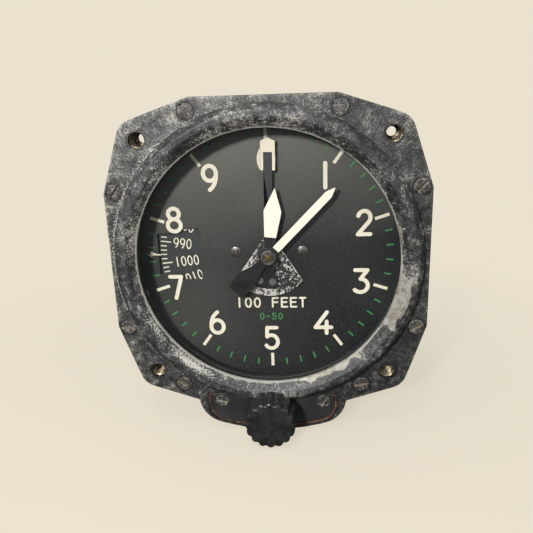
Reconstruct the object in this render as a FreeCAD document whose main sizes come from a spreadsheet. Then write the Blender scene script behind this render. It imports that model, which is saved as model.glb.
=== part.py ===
import FreeCAD, Part
import math
import os
import Sketcher
from FreeCAD import Rotation, Vector

# Three-pointer altimeter for a 3 1/8 inch panel hole. Millimetres.
# X to the right, Z up, Y back into the case: the dial looks along -Y.
# The origin is the centre of the panel fixing holes, on the flange's front face.

os.makedirs("parts", exist_ok=True)
doc = FreeCAD.newDocument("Altimeter")
sheet = doc.addObject("Spreadsheet::Sheet", "Sizes")

SIZES = {
    "zero": 0,
    # Bezel ring for a 3 1/8 inch hole: the front, the case and the gearing follow it
    "bezel_radius": 39.7,
    # Mounting flange: a 3 1/4 inch square with cut corners
    "flange_margin": 1.6,
    "flange_half": "=bezel_radius + flange_margin",
    "flat_drop": 23.0,
    "flange_flat": "=flange_half - flat_drop",
    "corner_drop": 5.76,
    "flange_corner": "=flange_half - corner_drop",
    "corner_radius": 5.2,
    "flange_thick": 4.0,
    "shoulder_width": 2.45,
    "flange_bore": "=bezel_radius - shoulder_width",
    "hole_margin": 4.11,
    "panel_pitch": "=2 * (flange_corner - hole_margin)",
    "panel_hole": 2.05,
    "panel_skin": 1.0,
    "insert_radius": 3.3,
    "rim_hole": 2.7,
    "hole_x": "=panel_pitch / 2",
    # Lobe of the flange that carries the setting knob
    "lobe_margin": 7.2,
    "lobe_reach": "=spindle_z + lobe_margin",
    "lobe_end_radius": 8.0,
    "lobe_end_x": 12.43,
    "lobe_tuck": 3.2,
    "lobe_top": "=bezel_radius - lobe_tuck",
    "lobe_end_z": "=sqrt(pow(lobe_reach - lobe_end_radius; 2) - pow(lobe_end_x; 2))",
    "lobe_side": "=lobe_end_x + lobe_end_radius",
    "lobe_touch_x": "=lobe_end_x * lobe_reach / (lobe_reach - lobe_end_radius)",
    "lobe_touch_z": "=lobe_end_z * lobe_reach / (lobe_reach - lobe_end_radius)",
    # Cover plate let into the lobe, with its sealing strip
    "cover_margin": 1.3,
    "cover_reach": "=lobe_reach - cover_margin",
    "cover_end_radius": 5.2,
    "cover_end_x": 12.1,
    "cover_tuck": 1.1,
    "cover_top": "=bezel_radius - cover_tuck",
    "seal_width": 0.55,
    "cover_thick": 1.0,
    "cover_sink": 0.2,
    "cover_recess": "=cover_sink + cover_thick",
    "cover_end_z": "=sqrt(pow(cover_reach - cover_end_radius; 2) - pow(cover_end_x; 2))",
    "cover_side": "=cover_end_x + cover_end_radius",
    "cover_touch_x": "=cover_end_x * cover_reach / (cover_reach - cover_end_radius)",
    "cover_touch_z": "=cover_end_z * cover_reach / (cover_reach - cover_end_radius)",
    "strip_reach": "=cover_reach + seal_width",
    "strip_end_radius": "=cover_end_radius + seal_width",
    "strip_top": "=cover_top - seal_width",
    "strip_end_z": "=cover_end_z",
    "strip_side": "=cover_side + seal_width",
    "strip_touch_x": "=cover_touch_x * strip_reach / cover_reach",
    "strip_touch_z": "=cover_touch_z * strip_reach / cover_reach",
    "cover_screw_x": 14.2,
    "cover_screw_inset": 7.6,
    "cover_screw_z": "=cover_reach - cover_screw_inset",
    "cover_screw_head": 1.8,
    "cover_screw_shank": 1.0,
    "cover_screw_length": 3.0,
    "cover_screw_cap": 0.5,
    # Case rim behind the flange and its sealing gasket
    "rim_inset": 0.7,
    "rim_half": "=flange_half - rim_inset",
    "rim_flat": "=flange_flat - rim_inset * 0.4",
    "rim_corner": "=flange_corner - rim_inset",
    "rim_corner_radius": "=corner_radius - rim_inset",
    "seal_thick": 0.5,
    "seal_bush_gap": 0.3,
    "seal_bush_hole": "=bush_radius + seal_bush_gap",
    "rim_front": "=flange_thick + seal_thick",
    "rim_thick": 2.5,
    "rim_back": "=rim_front + rim_thick",
    # Case barrel
    "barrel_inset": 0.9,
    "barrel_radius": "=bezel_radius - barrel_inset",
    "barrel_wall": 1.8,
    "barrel_bore": "=barrel_radius - barrel_wall",
    "barrel_back": 92.0,
    "back_wall": 2.5,
    "barrel_length": "=barrel_back - rim_front",
    "cavity_depth": "=barrel_length - back_wall",
    "cavity_back": "=barrel_back - back_wall",
    "back_chamfer": 1.5,
    # Static pressure connection at the back
    "port_z": 20.0,
    "port_boss_radius": 7.5,
    "port_boss_length": 4.0,
    "port_boss_back": "=barrel_back + port_boss_length",
    "port_drill": "=nipple_root",
    "port_depth": "=port_boss_length + back_wall",
    "nipple_root": 4.0,
    "nipple_bore": 1.6,
    "nipple_collar": 6.0,
    "nipple_collar_length": 3.0,
    "nipple_tube": 3.2,
    "nipple_tube_length": 10.0,
    "nipple_front": "=0 - port_depth",
    "nipple_end": "=nipple_collar_length + nipple_tube_length",
    # Flange screws: slotted cheese heads let in flush
    "screw_head": 2.1,
    "screw_head_gap": 0.05,
    "screw_head_thick": 1.2,
    "screw_shank": 1.2,
    "screw_length": 7.0,
    "slot_width": 0.55,
    "slot_depth": 0.5,
    "head_bore": "=screw_head + screw_head_gap",
    "screw_top_aside": 0.35,
    "screw_top_inset": 3.25,
    "screw_side_aside": 0.3,
    "screw_side_inset": 2.7,
    "screw_low_aside": 6.2,
    "screw_low_inset": 5.8,
    "screw_top_x": "=flange_flat + screw_top_aside",
    "screw_top_z": "=flange_half - screw_top_inset",
    "screw_side_x": "=flange_half - screw_side_inset",
    "screw_side_z": "=flange_flat + screw_side_aside",
    "screw_low_x": "=flange_flat + screw_low_aside",
    "screw_low_z": "=flange_half - screw_low_inset",
    # Bezel ring, glass, gasket and the ring that holds them
    "lip_width": 5.9,
    "lip_radius": "=bezel_radius - lip_width",
    "lip_front": 1.7,
    "lip_thick": 0.8,
    "face_inset": 3.4,
    "face_inner": "=bezel_radius - face_inset",
    "face_edge": 1.5,
    "face_outer": "=bezel_radius - face_edge",
    "face_front": 3.4,
    "shoulder_front": 1.9,
    "shoulder_radius": 2.1,
    "spigot_gap": 0.05,
    "spigot_radius": "=flange_bore - spigot_gap",
    "spigot_depth": 3.2,
    "seat_wall": 1.55,
    "glass_seat": "=flange_bore - seat_wall",
    "glass_gap": 0.1,
    "glass_radius": "=glass_seat - glass_gap",
    "glass_thick": 2.0,
    "glass_front": "=lip_thick - lip_front",
    "gasket_width": 1.3,
    "gasket_inner": "=glass_seat - gasket_width",
    "gasket_front": "=glass_front + glass_thick",
    "gasket_thick": 0.6,
    "retainer_width": 1.4,
    "retainer_inner": "=glass_seat - retainer_width",
    "retainer_front": "=gasket_front + gasket_thick",
    "retainer_thick": "=spigot_depth - retainer_front",
    # Dial with its pressure window
    "dial_gap": 0.2,
    "dial_radius": "=barrel_bore - dial_gap",
    "dial_front": 7.0,
    "dial_thick": 0.8,
    "dial_hole": 3.2,
    "dial_back": "=dial_front + dial_thick",
    "window_outer": 30.3,
    "window_step": 24.4,
    "window_inner": 18.6,
    "window_top_outer": 5.9,
    "window_top_inner": 7.3,
    "window_low_outer": 5.6,
    "window_low_inner": 7.3,
    "dial_screw_x": 9.0,
    "dial_screw_z": 0.6,
    "dial_screw_head": 1.5,
    "dial_screw_cap": 0.5,
    "dial_screw_shank": 0.8,
    "dial_screw_length": 3.6,
    "dial_screw_front": "=dial_front - dial_screw_cap",
    # Front plate of the movement, with the boss that the pressure scale turns on
    "keeper_radius": 13.4,
    "keeper_thick": 0.4,
    "boss_front": "=dial_back + keeper_thick",
    "boss_radius": 12.0,
    "plate_front": 12.0,
    "plate_thick": 1.5,
    "boss_length": "=plate_front - boss_front",
    "plate_back": "=plate_front + plate_thick",
    "plate_gap": 0.1,
    "plate_radius": "=barrel_bore - plate_gap",
    "lug_inset": 2.4225,
    "plate_screw_x": "=(barrel_bore - lug_inset) / sqrt(2)",
    "plate_screw_head": 1.8,
    "plate_screw_cap": 1.1,
    "plate_screw_shank": 1.0,
    "plate_screw_length": 5.5,
    "plate_screw_front": "=plate_front - plate_screw_cap",
    "lug_radius": 2.7,
    "lug_length": 6.0,
    "pivot_gap": 0.05,
    # Pressure scale: a printed disc on its toothed ring
    "scale_front": "=boss_front + scale_play",
    "scale_play": 0.1,
    "stud_gap": 0.3,
    "scale_radius": "=idler_z - stud_head_radius - stud_gap",
    "scale_thick": 0.6,
    "ring_front": "=scale_front + scale_thick",
    "ring_thick": 1.6,
    "ring_hub_radius": 15.0,
    "ring_hub_length": "=plate_front - scale_play - ring_front",
    "scale_bore": "=boss_radius + pivot_gap",
    "setting_module": "=0.6 * bezel_radius / 39.7",
    "ring_teeth": 100,
    "idler_teeth": 14,
    "spindle_teeth": 14,
    "idler_z": "=setting_module * (ring_teeth + idler_teeth) / 2",
    "spindle_z": "=idler_z + setting_module * (idler_teeth + spindle_teeth) / 2",
    "idler_front": "=ring_front + 0.3",
    "idler_thick": 1.4,
    "idler_stud_radius": 1.5,
    "idler_bore": "=idler_stud_radius + pivot_gap",
    "stud_head_radius": 2.4,
    "stud_head_thick": 0.5,
    "stud_front": "=idler_front - 0.1 - stud_head_thick",
    "stud_rear": "=plate_back - stud_front",
    # Setting spindle, its bush and knob
    "lobe_house_radius": 7.1,
    "lobe_house_length": 9.5,
    "lobe_pocket_radius": 5.4,
    "lobe_pocket_front": 8.6,
    "lobe_pocket_depth": 3.2,
    "lobe_pocket_back": "=lobe_pocket_front + lobe_pocket_depth",
    "lobe_pocket_tuck": 0.2,
    "lobe_pocket_top": "=idler_z - lobe_pocket_tuck",
    "lobe_house_low": "=spindle_z + lobe_house_radius",
    "lobe_pocket_low": "=spindle_z + lobe_pocket_radius",
    "spindle_pivot": 1.5,
    "spindle_pivot_bore": "=spindle_pivot + pivot_gap",
    "spindle_pivot_depth": 1.4,
    "bush_radius": 2.8,
    "bush_front": 2.2,
    "bush_back": 8.4,
    "bush_length": "=bush_front + bush_back",
    "spindle_radius": 2.0,
    "bush_bore": "=spindle_radius + pivot_gap",
    "pinion_length": 1.8,
    "pinion_front": "=ring_front + 0.1",
    "collar_radius": 2.8,
    "collar_thick": 0.8,
    "collar_gap": 0.2,
    "collar_front": "=0 - bush_front - collar_gap - collar_thick",
    "knob_radius": 7.25,
    "knob_back": 4.0,
    "knob_length": 6.0,
    "knob_front": "=0 - knob_back - knob_length",
    "knob_chamfer": 0.5,
    "knob_flutes": 16,
    "flute_radius": 1.15,
    "flute_reach": 7.75,
    "knob_bore_depth": 4.5,
    "spindle_front": "=0 - knob_back - knob_bore_depth",
    "spindle_length": "=pinion_front - spindle_front",
    # Hand gearing between the front and centre plates
    "pressure_angle": 25,
    "backlash": 0.06,
    "fine_module": "=0.35 * bezel_radius / 39.7",
    "coarse_module": "=0.5 * bezel_radius / 39.7",
    "pinion_teeth": 12,
    "wheel_teeth": 48,
    "hand_wheel_teeth": 30,
    "hand_centres": "=fine_module * (pinion_teeth + wheel_teeth) / 2",
    "wheel_thick": 0.8,
    "pinion_thick": 1.0,
    "staff_radius": 0.75,
    "pipe_wall": 0.55,
    "thousands_bore": "=staff_radius + pivot_gap",
    "thousands_radius": "=thousands_bore + pipe_wall",
    "tens_bore": "=thousands_radius + pivot_gap",
    "tens_radius": "=tens_bore + pipe_wall",
    "tens_bearing": "=tens_radius + pivot_gap",
    "arbor_radius": 1.0,
    "pivot_radius": 0.5,
    "pivot_hole": "=pivot_radius + pivot_gap",
    "end_play": 0.1,
    "layer_one": 14.3,
    "layer_two": 17.3,
    "layer_three": 20.0,
    "layer_four": 22.6,
    # Centre plate, rear plate and pillars
    "centre_plate_front": 24.5,
    "centre_plate_back": "=centre_plate_front + plate_thick",
    "movement_gap": 2.5,
    "movement_radius": "=barrel_bore - movement_gap",
    "pillar_radius": 2.3,
    "pillar_spigot": 1.2,
    "front_pillar_inset": 6.5,
    "front_pillar_reach": "=movement_radius - front_pillar_inset",
    "front_pillar_x": "=front_pillar_reach * cos(30 deg)",
    "front_pillar_z": "=front_pillar_reach * sin(30 deg)",
    "front_pillar_length": "=centre_plate_front - plate_back",
    "rear_plate_front": 84.0,
    "rear_pillar_inset": 4.9,
    "rear_pillar_x": "=movement_radius - rear_pillar_inset",
    "rear_pillar_z": 8.0,
    "top_pillar_x": 14.0,
    "top_pillar_inset": 5.5,
    "top_pillar_z": "=movement_radius - top_pillar_inset",
    "rear_pillar_length": "=rear_plate_front - centre_plate_back",
    # Multiplying train from the rocking shaft to the hand staff
    "staff_layer": 27.3,
    "second_layer": 30.2,
    "sector_layer": 34.1,
    "second_wheel_teeth": 60,
    "first_wheel_teeth": 72,
    "sector_circle_teeth": 120,
    "sector_module": "=0.4 * bezel_radius / 39.7",
    "second_angle": -58.5,
    "first_angle": 52.0,
    "sector_angle": 145.0,
    "second_reach": "=fine_module * (pinion_teeth + second_wheel_teeth) / 2",
    "first_reach": "=fine_module * (pinion_teeth + first_wheel_teeth) / 2",
    "sector_reach": "=sector_module * (pinion_teeth + sector_circle_teeth) / 2",
    "second_x": "=second_reach * cos(second_angle * 1 deg)",
    "second_z": "=second_reach * sin(second_angle * 1 deg)",
    "first_x": "=second_x + first_reach * cos(first_angle * 1 deg)",
    "first_z": "=second_z + first_reach * sin(first_angle * 1 deg)",
    "shaft_x": "=first_x + sector_reach * cos(sector_angle * 1 deg)",
    "shaft_z": "=first_z + sector_reach * sin(sector_angle * 1 deg)",
    "bridge_front": 36.6,
    "bridge_thick": 1.2,
    "bridge_margin": 3.0,
    "post_inset": 3.5,
    "post_one_x": "=movement_radius - post_inset",
    "post_one_z": -4.0,
    "post_two_x": 14.0,
    "post_two_z": -24.0,
    "post_radius": 1.8,
    "post_spigot": 1.0,
    "post_length": "=bridge_front - centre_plate_back",
    # Rocking shaft with its sector and arm
    "shaft_radius": 1.5,
    "shaft_pivot": 0.8,
    "shaft_pivot_hole": "=shaft_pivot + pivot_gap",
    "sector_hub": 3.2,
    "sector_hub_length": 2.0,
    "sector_rim": 3.0,
    "sector_margin_teeth": 1.2,
    "arm_length": 6.0,
    "arm_thick": 2.0,
    "arm_front": 59.0,
    "arm_hub": 3.0,
    "arm_end": 1.5,
    "crank_pin": 0.6,
    "crank_pin_length": 2.8,
    # Capsules and the link to the arm
    "capsule_y": 62.0,
    "capsule_x": "=shaft_x + arm_length",
    "capsule_radius": 19.0,
    "capsule_rim": 0.5,
    "capsule_neck": 4.0,
    "capsule_height": 7.6,
    "capsule_gap": 0.5,
    "capsule_foot": 1.5,
    "bracket_inset": 5.0,
    "bracket_top": "=bracket_inset - movement_radius",
    "bracket_thick": 2.5,
    "bracket_half": 12.0,
    "link_boss_radius": 3.0,
    "link_boss_height": 1.6,
    "link_half": 1.2,
    "link_eye": 2.4,
    "link_thick": 1.2,
    "link_front": "=arm_front + arm_thick + 0.4",
    "link_slot_half": 0.75,
    "link_slot_reach": 0.9,
    # Where the hands stand: feet above sea level, and the dial's ends
    "altitude_rest": 122,
    "altitude_low": -1000,
    "altitude_high": 50000,
    "turn_feet": 1000,
    "hundreds_angle": "=360 * altitude_rest / turn_feet",
    "thousands_angle": 6.8,
    "tens_angle": 1.2,
    "sector_ratio": "=second_wheel_teeth * first_wheel_teeth * sector_circle_teeth / pow(pinion_teeth; 3)",
    "sector_travel": "=360 * (altitude_high - altitude_low) / turn_feet / sector_ratio",
    "sector_rest": "=360 * (altitude_rest - altitude_low) / turn_feet / sector_ratio - sector_travel / 2",
    # Hands, from the glass back to the dial
    "hand_thick": 0.4,
    "hundreds_front": 2.9,
    "thousands_front": 4.1,
    "tens_front": 5.3,
    "flag_front": 5.75,
    "hub_radius": 2.5,
    "staff_front": 2.1,
    "cap_front": 2.4,
    "cap_radius": 2.0,
    "cap_groove_inner": 1.2,
    "cap_groove_outer": 1.6,
    "cap_groove": 0.2,
    "cap_face": "=cap_front + cap_groove",
    "hundreds_tip": 25.0,
    "hundreds_taper": 22.6,
    "hundreds_half": 1.05,
    "hundreds_tail": 13.3,
    "hundreds_tail_half": 2.7,
    "thousands_tip": 18.4,
    "thousands_wide": 12.2,
    "thousands_half": 2.35,
    "thousands_base": 5.1,
    "thousands_base_half": 1.6,
    "thousands_neck_half": 1.1,
    "thousands_tail": 8.8,
    "thousands_tail_half": 3.3,
    "tens_half": 1.05,
    "fork_tip": 30.9,
    "fork_shoulder": 30.1,
    "fork_half": 1.9,
    "fork_foot": 22.4,
    "flag_radius": 11.7,
    "flag_half_angle": 51.5,
    "flag_top": 6.6,
}


def fill_sheet():
    """Write each size into the sheet, with its name as the cell's alias."""
    for row, name in enumerate(SIZES, start=1):
        sheet.set(f"A{row}", name.replace("_", " "))
        sheet.setAlias(f"B{row}", name)
    for row, value in enumerate(SIZES.values(), start=1):
        sheet.set(f"B{row}", str(value))
    doc.recompute()


def size(name):
    """The sheet's value; a leading minus turns its sign."""
    if name.startswith("-"):
        return -float(sheet.get(name[1:]))
    return float(sheet.get(name))


def bind(thing, prop, name):
    """Tie a property to a sheet value; a leading minus turns its sign."""
    sign = "-" if name.startswith("-") else ""
    thing.setExpression(prop, f"{sign}Sizes.{name.lstrip('-')}")


def place(thing, at, turn=None):
    """Tie a piece's place to the sheet, and its turn about Y to an angle there."""
    if turn:
        thing.Placement = FreeCAD.Placement(Vector(), Rotation(Vector(0, 1, 0), 1))
        bind(thing, "Placement.Rotation.Angle", turn)
    for axis, name in zip("xyz", at):
        bind(thing, f"Placement.Base.{axis}", name)
    return thing


def new_body(label, at=("zero", "zero", "zero"), turn=None):
    """An empty body with its place tied to the sheet."""
    body = doc.addObject("PartDesign::Body", label)
    body.Label = label
    return place(body, at, turn)


def sketch_on(body, role, depth=None):
    """A sketch on one of the body's own planes, set back along Y by depth."""
    plane = next(f for f in body.Origin.OriginFeatures if f.Role == role)
    sketch = body.newObject("Sketcher::SketchObject", f"{body.Label}_sketch")
    sketch.AttachmentSupport = [(plane, "")]
    sketch.MapMode = "FlatFace"
    if depth:
        sketch.setExpression("AttachmentOffset.Base.z", f"-Sizes.{depth}")
    return sketch


def pin_point(sketch, index, end, across, up):
    """Hold a sketch point at two sheet values."""
    for kind, axis, name in (("DistanceX", -2, across), ("DistanceY", -1, up)):
        if name == "zero":
            sketch.addConstraint(Sketcher.Constraint("PointOnObject", index, end, axis))
        else:
            row = sketch.addConstraint(Sketcher.Constraint(kind, index, end, size(name)))
            bind(sketch, f"Constraints[{row}]", name)


def arc_between(start, end, radius, side):
    """An arc from start to end; side 1 puts its centre on the left."""
    chord = end - start
    height = math.sqrt(max(radius ** 2 - (chord.Length / 2) ** 2, 0))
    left = Vector(-chord.y, chord.x, 0).normalize()
    centre = (start + end) * 0.5 + left * height * side
    circle = Part.Circle(centre, Vector(0, 0, 1), radius)
    ends = [math.atan2((p - centre).y, (p - centre).x) for p in (start, end)]
    if side < 0:
        ends.reverse()
    return Part.ArcOfCircle(circle, *ends)


def draw_loop(sketch, corners):
    """A closed outline; a corner (x, y, radius, side) starts an arc to the next corner."""
    points = [Vector(size(c[0]), size(c[1]), 0) for c in corners]
    edges = []
    for i, corner in enumerate(corners):
        start, end = points[i], points[(i + 1) % len(points)]
        if len(corner) == 2:
            edges.append((sketch.addGeometry(Part.LineSegment(start, end), False), 1, 2))
            continue
        arc = arc_between(start, end, size(corner[2]), corner[3])
        ends = (1, 2) if corner[3] > 0 else (2, 1)
        edges.append((sketch.addGeometry(arc, False), *ends))
    for i, (index, _, last) in enumerate(edges):
        after, first, _ = edges[(i + 1) % len(edges)]
        sketch.addConstraint(Sketcher.Constraint("Coincident", index, last, after, first))
    for (index, first, _), corner in zip(edges, corners):
        pin_point(sketch, index, first, corner[0], corner[1])
        if len(corner) > 2:
            rule = Sketcher.Constraint("Radius", index, size(corner[2]))
            bind(sketch, f"Constraints[{sketch.addConstraint(rule)}]", corner[2])


def draw_circle(sketch, across, up, radius):
    """A circle held at two sheet values."""
    circle = Part.Circle(Vector(size(across), size(up), 0), Vector(0, 0, 1), size(radius))
    index = sketch.addGeometry(circle, False)
    pin_point(sketch, index, 3, across, up)
    rule = Sketcher.Constraint("Radius", index, size(radius))
    bind(sketch, f"Constraints[{sketch.addConstraint(rule)}]", radius)


def front_sketch(body, loops=(), circles=(), depth=None):
    """A sketch seen from the front, with outlines and circles."""
    sketch = sketch_on(body, "XZ_Plane", depth)
    for corners in loops:
        draw_loop(sketch, corners)
    for circle in circles:
        draw_circle(sketch, *circle)
    return sketch


def pad(body, sketch, length):
    """Material from the sketch backwards along Y."""
    feature = body.newObject("PartDesign::Pad", f"{body.Label}_pad")
    feature.Profile = sketch
    feature.Reversed = True
    bind(feature, "Length", length)
    return feature


def pocket(body, sketch, length):
    """A cut from the sketch backwards along Y; it must take material away."""
    doc.recompute()
    before = body.Shape.Volume
    feature = body.newObject("PartDesign::Pocket", f"{body.Label}_pocket")
    feature.Profile = sketch
    bind(feature, "Length", length)
    doc.recompute()
    if feature.Shape.Volume > before - 1e-6:
        raise ValueError(f"a pocket of {body.Label} cuts nothing")
    return feature


def flat_piece(label, front, thick, loops=(), circles=(), turn=None):
    """A plate of even thickness whose front face lies at y = front."""
    body = new_body(label, ("zero", front, "zero"), turn)
    pad(body, front_sketch(body, loops, circles), thick)
    return body


def turned_piece(label, corners, at=("zero", "zero", "zero"), upright=False):
    """A turned piece from a half section: about Y, or about Z when upright."""
    body = new_body(label, at)
    sketch = sketch_on(body, "XZ_Plane" if upright else "XY_Plane")
    draw_loop(sketch, corners)
    feature = body.newObject("PartDesign::Revolution", f"{label}_turned")
    feature.Profile = sketch
    feature.ReferenceAxis = (sketch, ["V_Axis"])
    feature.Angle = 360
    return body


def fillet_upright_edges(body, points, radius):
    """Round the edges along Y that stand at the given (x, z) sheet values."""
    doc.recompute()
    names = []
    for number, edge in enumerate(body.Tip.Shape.Edges, start=1):
        middle = edge.CenterOfMass
        along = abs(edge.BoundBox.YLength - edge.Length) < 1e-6
        for x, z in points:
            near = math.hypot(middle.x - size(x), middle.z - size(z)) < 1e-3
            if along and near:
                names.append(f"Edge{number}")
    base = body.Tip
    feature = body.newObject("PartDesign::Fillet", f"{body.Label}_fillet")
    feature.Base = (base, names)
    bind(feature, "Radius", radius)


def chamfer_round(body, radius, depth, amount):
    """Chamfer the round edge of the given radius at the given depth."""
    doc.recompute()
    base, names = body.Tip, []
    for number, edge in enumerate(base.Shape.Edges, start=1):
        level = abs(edge.CenterOfMass.y - size(depth)) < 1e-6
        if level and abs(edge.BoundBox.XLength - 2 * size(radius)) < 1e-6:
            names.append(f"Edge{number}")
    feature = body.newObject("PartDesign::Chamfer", f"{body.Label}_chamfer")
    feature.Base = (base, names)
    bind(feature, "Size", amount)
    doc.recompute()


def rod(label, radius, length, at):
    """A plain round rod along Y."""
    piece = doc.addObject("Part::Cylinder", label)
    bind(piece, "Radius", radius)
    bind(piece, "Height", length)
    piece.Placement = FreeCAD.Placement(Vector(), Rotation(Vector(1, 0, 0), -90))
    return place(piece, at)


def joined(label, pieces, at=("zero", "zero", "zero")):
    """Several shapes made one."""
    feature = doc.addObject("Part::MultiFuse", label)
    feature.Shapes = pieces
    feature.Label = label
    return place(feature, at)


def bored(label, base, tool, at=("zero", "zero", "zero"), turn=None):
    """One shape less another."""
    feature = doc.addObject("Part::Cut", label)
    feature.Base = base
    feature.Tool = tool
    feature.Label = label
    return place(feature, at, turn)


def slab(label, wire, thick):
    """A wire of the front view, extruded backwards by a sheet value."""
    outline = doc.addObject("Part::Feature", f"{label}_outline")
    outline.Shape = wire
    feature = doc.addObject("Part::Extrusion", f"{label}_slab")
    feature.Base = outline
    feature.DirMode = "Custom"
    feature.Dir = Vector(0, 1, 0)
    feature.Solid = True
    bind(feature, "LengthFwd", thick)
    return feature


def polar(radius, degrees):
    """A point of the front view: degrees run from +X towards +Z."""
    turn = math.radians(degrees)
    return Vector(radius * math.cos(turn), 0, radius * math.sin(turn))


def tooth_points(teeth, module, centre, fine):
    """One involute tooth about the direction centre, from root to root."""
    pitch = teeth * module / 2
    angle = math.radians(size("pressure_angle"))
    base = pitch * math.cos(angle)
    root, tip = pitch - 1.25 * module, pitch + 0.95 * module
    half = math.pi / (2 * teeth) - size("backlash") / (4 * pitch)
    involute = math.tan(angle) - angle

    def half_angle(radius):
        roll = math.acos(min(1, base / radius))
        return math.degrees(half + involute - (math.tan(roll) - roll))

    radii = [max(root, base), pitch, tip] if fine else [max(root, base), tip]
    flank = [(r, half_angle(r)) for r in radii]
    flank[0] = (root, flank[0][1])
    left = [polar(r, centre - a) for r, a in flank]
    right = [polar(r, centre + a) for r, a in reversed(flank)]
    return left + right


def closed(points):
    """A closed wire through points."""
    return Part.makePolygon(points + [points[0]])


def gear_wire(teeth, module, phase, fine=False):
    """The outline of a spur gear with one tooth centred at phase degrees."""
    points = []
    for i in range(int(teeth)):
        points += tooth_points(teeth, module, phase + i * 360 / teeth, fine)
    return closed(points)


def mesh_phase(teeth, phase, direction, follower_teeth):
    """The phase of a gear that meshes with one that lies opposite its direction."""
    return direction + 180 + (180 - teeth * (phase - direction)) / follower_teeth


def belt_wire(circles):
    """The outline of a belt around circles (x, z, radius), in anticlockwise order."""
    edges, touches = [], []
    for i, (x, z, r) in enumerate(circles):
        nx, nz, nr = circles[(i + 1) % len(circles)]
        heading = math.atan2(nz - z, nx - x)
        lean = math.acos((r - nr) / math.hypot(nx - x, nz - z))
        side = math.degrees(heading - lean)
        touches.append((side, Vector(x, 0, z) + polar(r, side), Vector(nx, 0, nz) + polar(nr, side)))
    for i, (x, z, r) in enumerate(circles):
        before, after = touches[i - 1], touches[i]
        sweep = (after[0] - before[0]) % 360
        middle = Vector(x, 0, z) + polar(r, before[0] + sweep / 2)
        edges.append(Part.Arc(before[2], middle, after[1]).toShape())
        edges.append(Part.makeLine(after[1], after[2]))
    return Part.Wire(edges)


def mirrored(corners):
    """A right-hand outline from top to bottom, closed by its left-hand mirror."""
    def other(name):
        return name if name == "zero" else f"-{name}"
    left = [(other(x), z) for x, z in reversed(corners) if x != "zero"]
    return list(corners) + left


def square_outline(half, flat, corner):
    """The flange's square with slanted edges towards its corners."""
    right = [(flat, half), (corner, corner), (half, flat)]
    right += [(half, f"-{flat}"), (corner, f"-{corner}"), (flat, f"-{half}")]
    return mirrored(right)


def corner_points(corner):
    """The square's four sharp corners."""
    return [(a + corner, b + corner) for a in ("", "-") for b in ("", "-")]


def hole_points():
    """The four panel holes' centres."""
    return [(a + "hole_x", b + "hole_x") for a in ("", "-") for b in ("", "-")]


def screw_points():
    """The eight flange screws' centres."""
    right = [("screw_top_x", "screw_top_z"), ("screw_side_x", "screw_side_z")]
    right += [("screw_side_x", "-screw_side_z"), ("screw_low_x", "-screw_low_z")]
    return [(a + x, z) for a in ("", "-") for x, z in right]


def plate_screw_points():
    """The four screws that hold the movement in the case."""
    return [(a + "plate_screw_x", b + "plate_screw_x") for a in ("", "-") for b in ("", "-")]


def lobe_outline(kind):
    """The lobe, its cover or its strip: a long arc about the dial with rounded ends."""
    side, end = f"{kind}_side", f"{kind}_end_z"
    touch, low, radius = f"{kind}_touch_x", f"-{kind}_touch_z", f"{kind}_end_radius"
    return [
        (side, f"-{kind}_top"),
        (f"-{side}", f"-{kind}_top"),
        (f"-{side}", f"-{end}", radius, 1),
        (f"-{touch}", low, f"{kind}_reach", 1),
        (touch, low, radius, 1),
        (side, f"-{end}"),
    ]


def make_flange():
    """Mounting flange with its lobe, bore, panel holes and screw seats."""
    body = new_body("mounting_flange")
    square = square_outline("flange_half", "flange_flat", "flange_corner")
    pad(body, front_sketch(body, [square]), "flange_thick")
    fillet_upright_edges(body, corner_points("flange_corner"), "corner_radius")
    pad(body, front_sketch(body, [lobe_outline("lobe")]), "flange_thick")
    pocket(body, front_sketch(body, circles=[("zero", "zero", "flange_bore")]), "flange_thick")
    small = [(x, z, "panel_hole") for x, z in hole_points()]
    small += [(x, z, "screw_shank") for x, z in screw_points()]
    small += [("cover_screw_x", "-cover_screw_z", "cover_screw_shank")]
    small += [("-cover_screw_x", "-cover_screw_z", "cover_screw_shank")]
    small += [("zero", "-spindle_z", "bush_radius")]
    pocket(body, front_sketch(body, circles=small), "flange_thick")
    wide = [(x, z, "insert_radius") for x, z in hole_points()]
    pocket(body, front_sketch(body, circles=wide, depth="panel_skin"), "flange_thick")
    heads = [(x, z, "head_bore") for x, z in screw_points()]
    pocket(body, front_sketch(body, circles=heads), "screw_head_thick")
    pocket(body, front_sketch(body, [lobe_outline("strip")]), "cover_recess")
    return body


def make_cover():
    """Cover plate of the lobe, the strip that seals it, and its two screws."""
    screws = [("cover_screw_x", "-cover_screw_z"), ("-cover_screw_x", "-cover_screw_z")]
    holes = [(x, z, "cover_screw_shank") for x, z in screws]
    holes += [("zero", "-spindle_z", "bush_radius")]
    flat_piece("lobe_cover", "cover_sink", "cover_thick", [lobe_outline("cover")], holes)
    flat_piece("cover_seal", "cover_sink", "cover_thick",
               [lobe_outline("strip"), lobe_outline("cover")])
    made = []
    for number, (x, z) in enumerate(screws):
        cap = rod(f"cover_head{number}", "cover_screw_head", "cover_screw_cap", (x, "zero", z))
        cap.setExpression("Placement.Base.y", "Sizes.cover_sink - Sizes.cover_screw_cap")
        shank = rod(f"cover_shank{number}", "cover_screw_shank", "cover_screw_length",
                    (x, "cover_sink", z))
        made.append(joined(f"cover_screw{number}", [cap, shank]))
    turns = [(*screws[0], -60), (*screws[1], 35)]
    return slotted("cover_screws", made, "cover_sink", "cover_screw_cap", turns)


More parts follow.
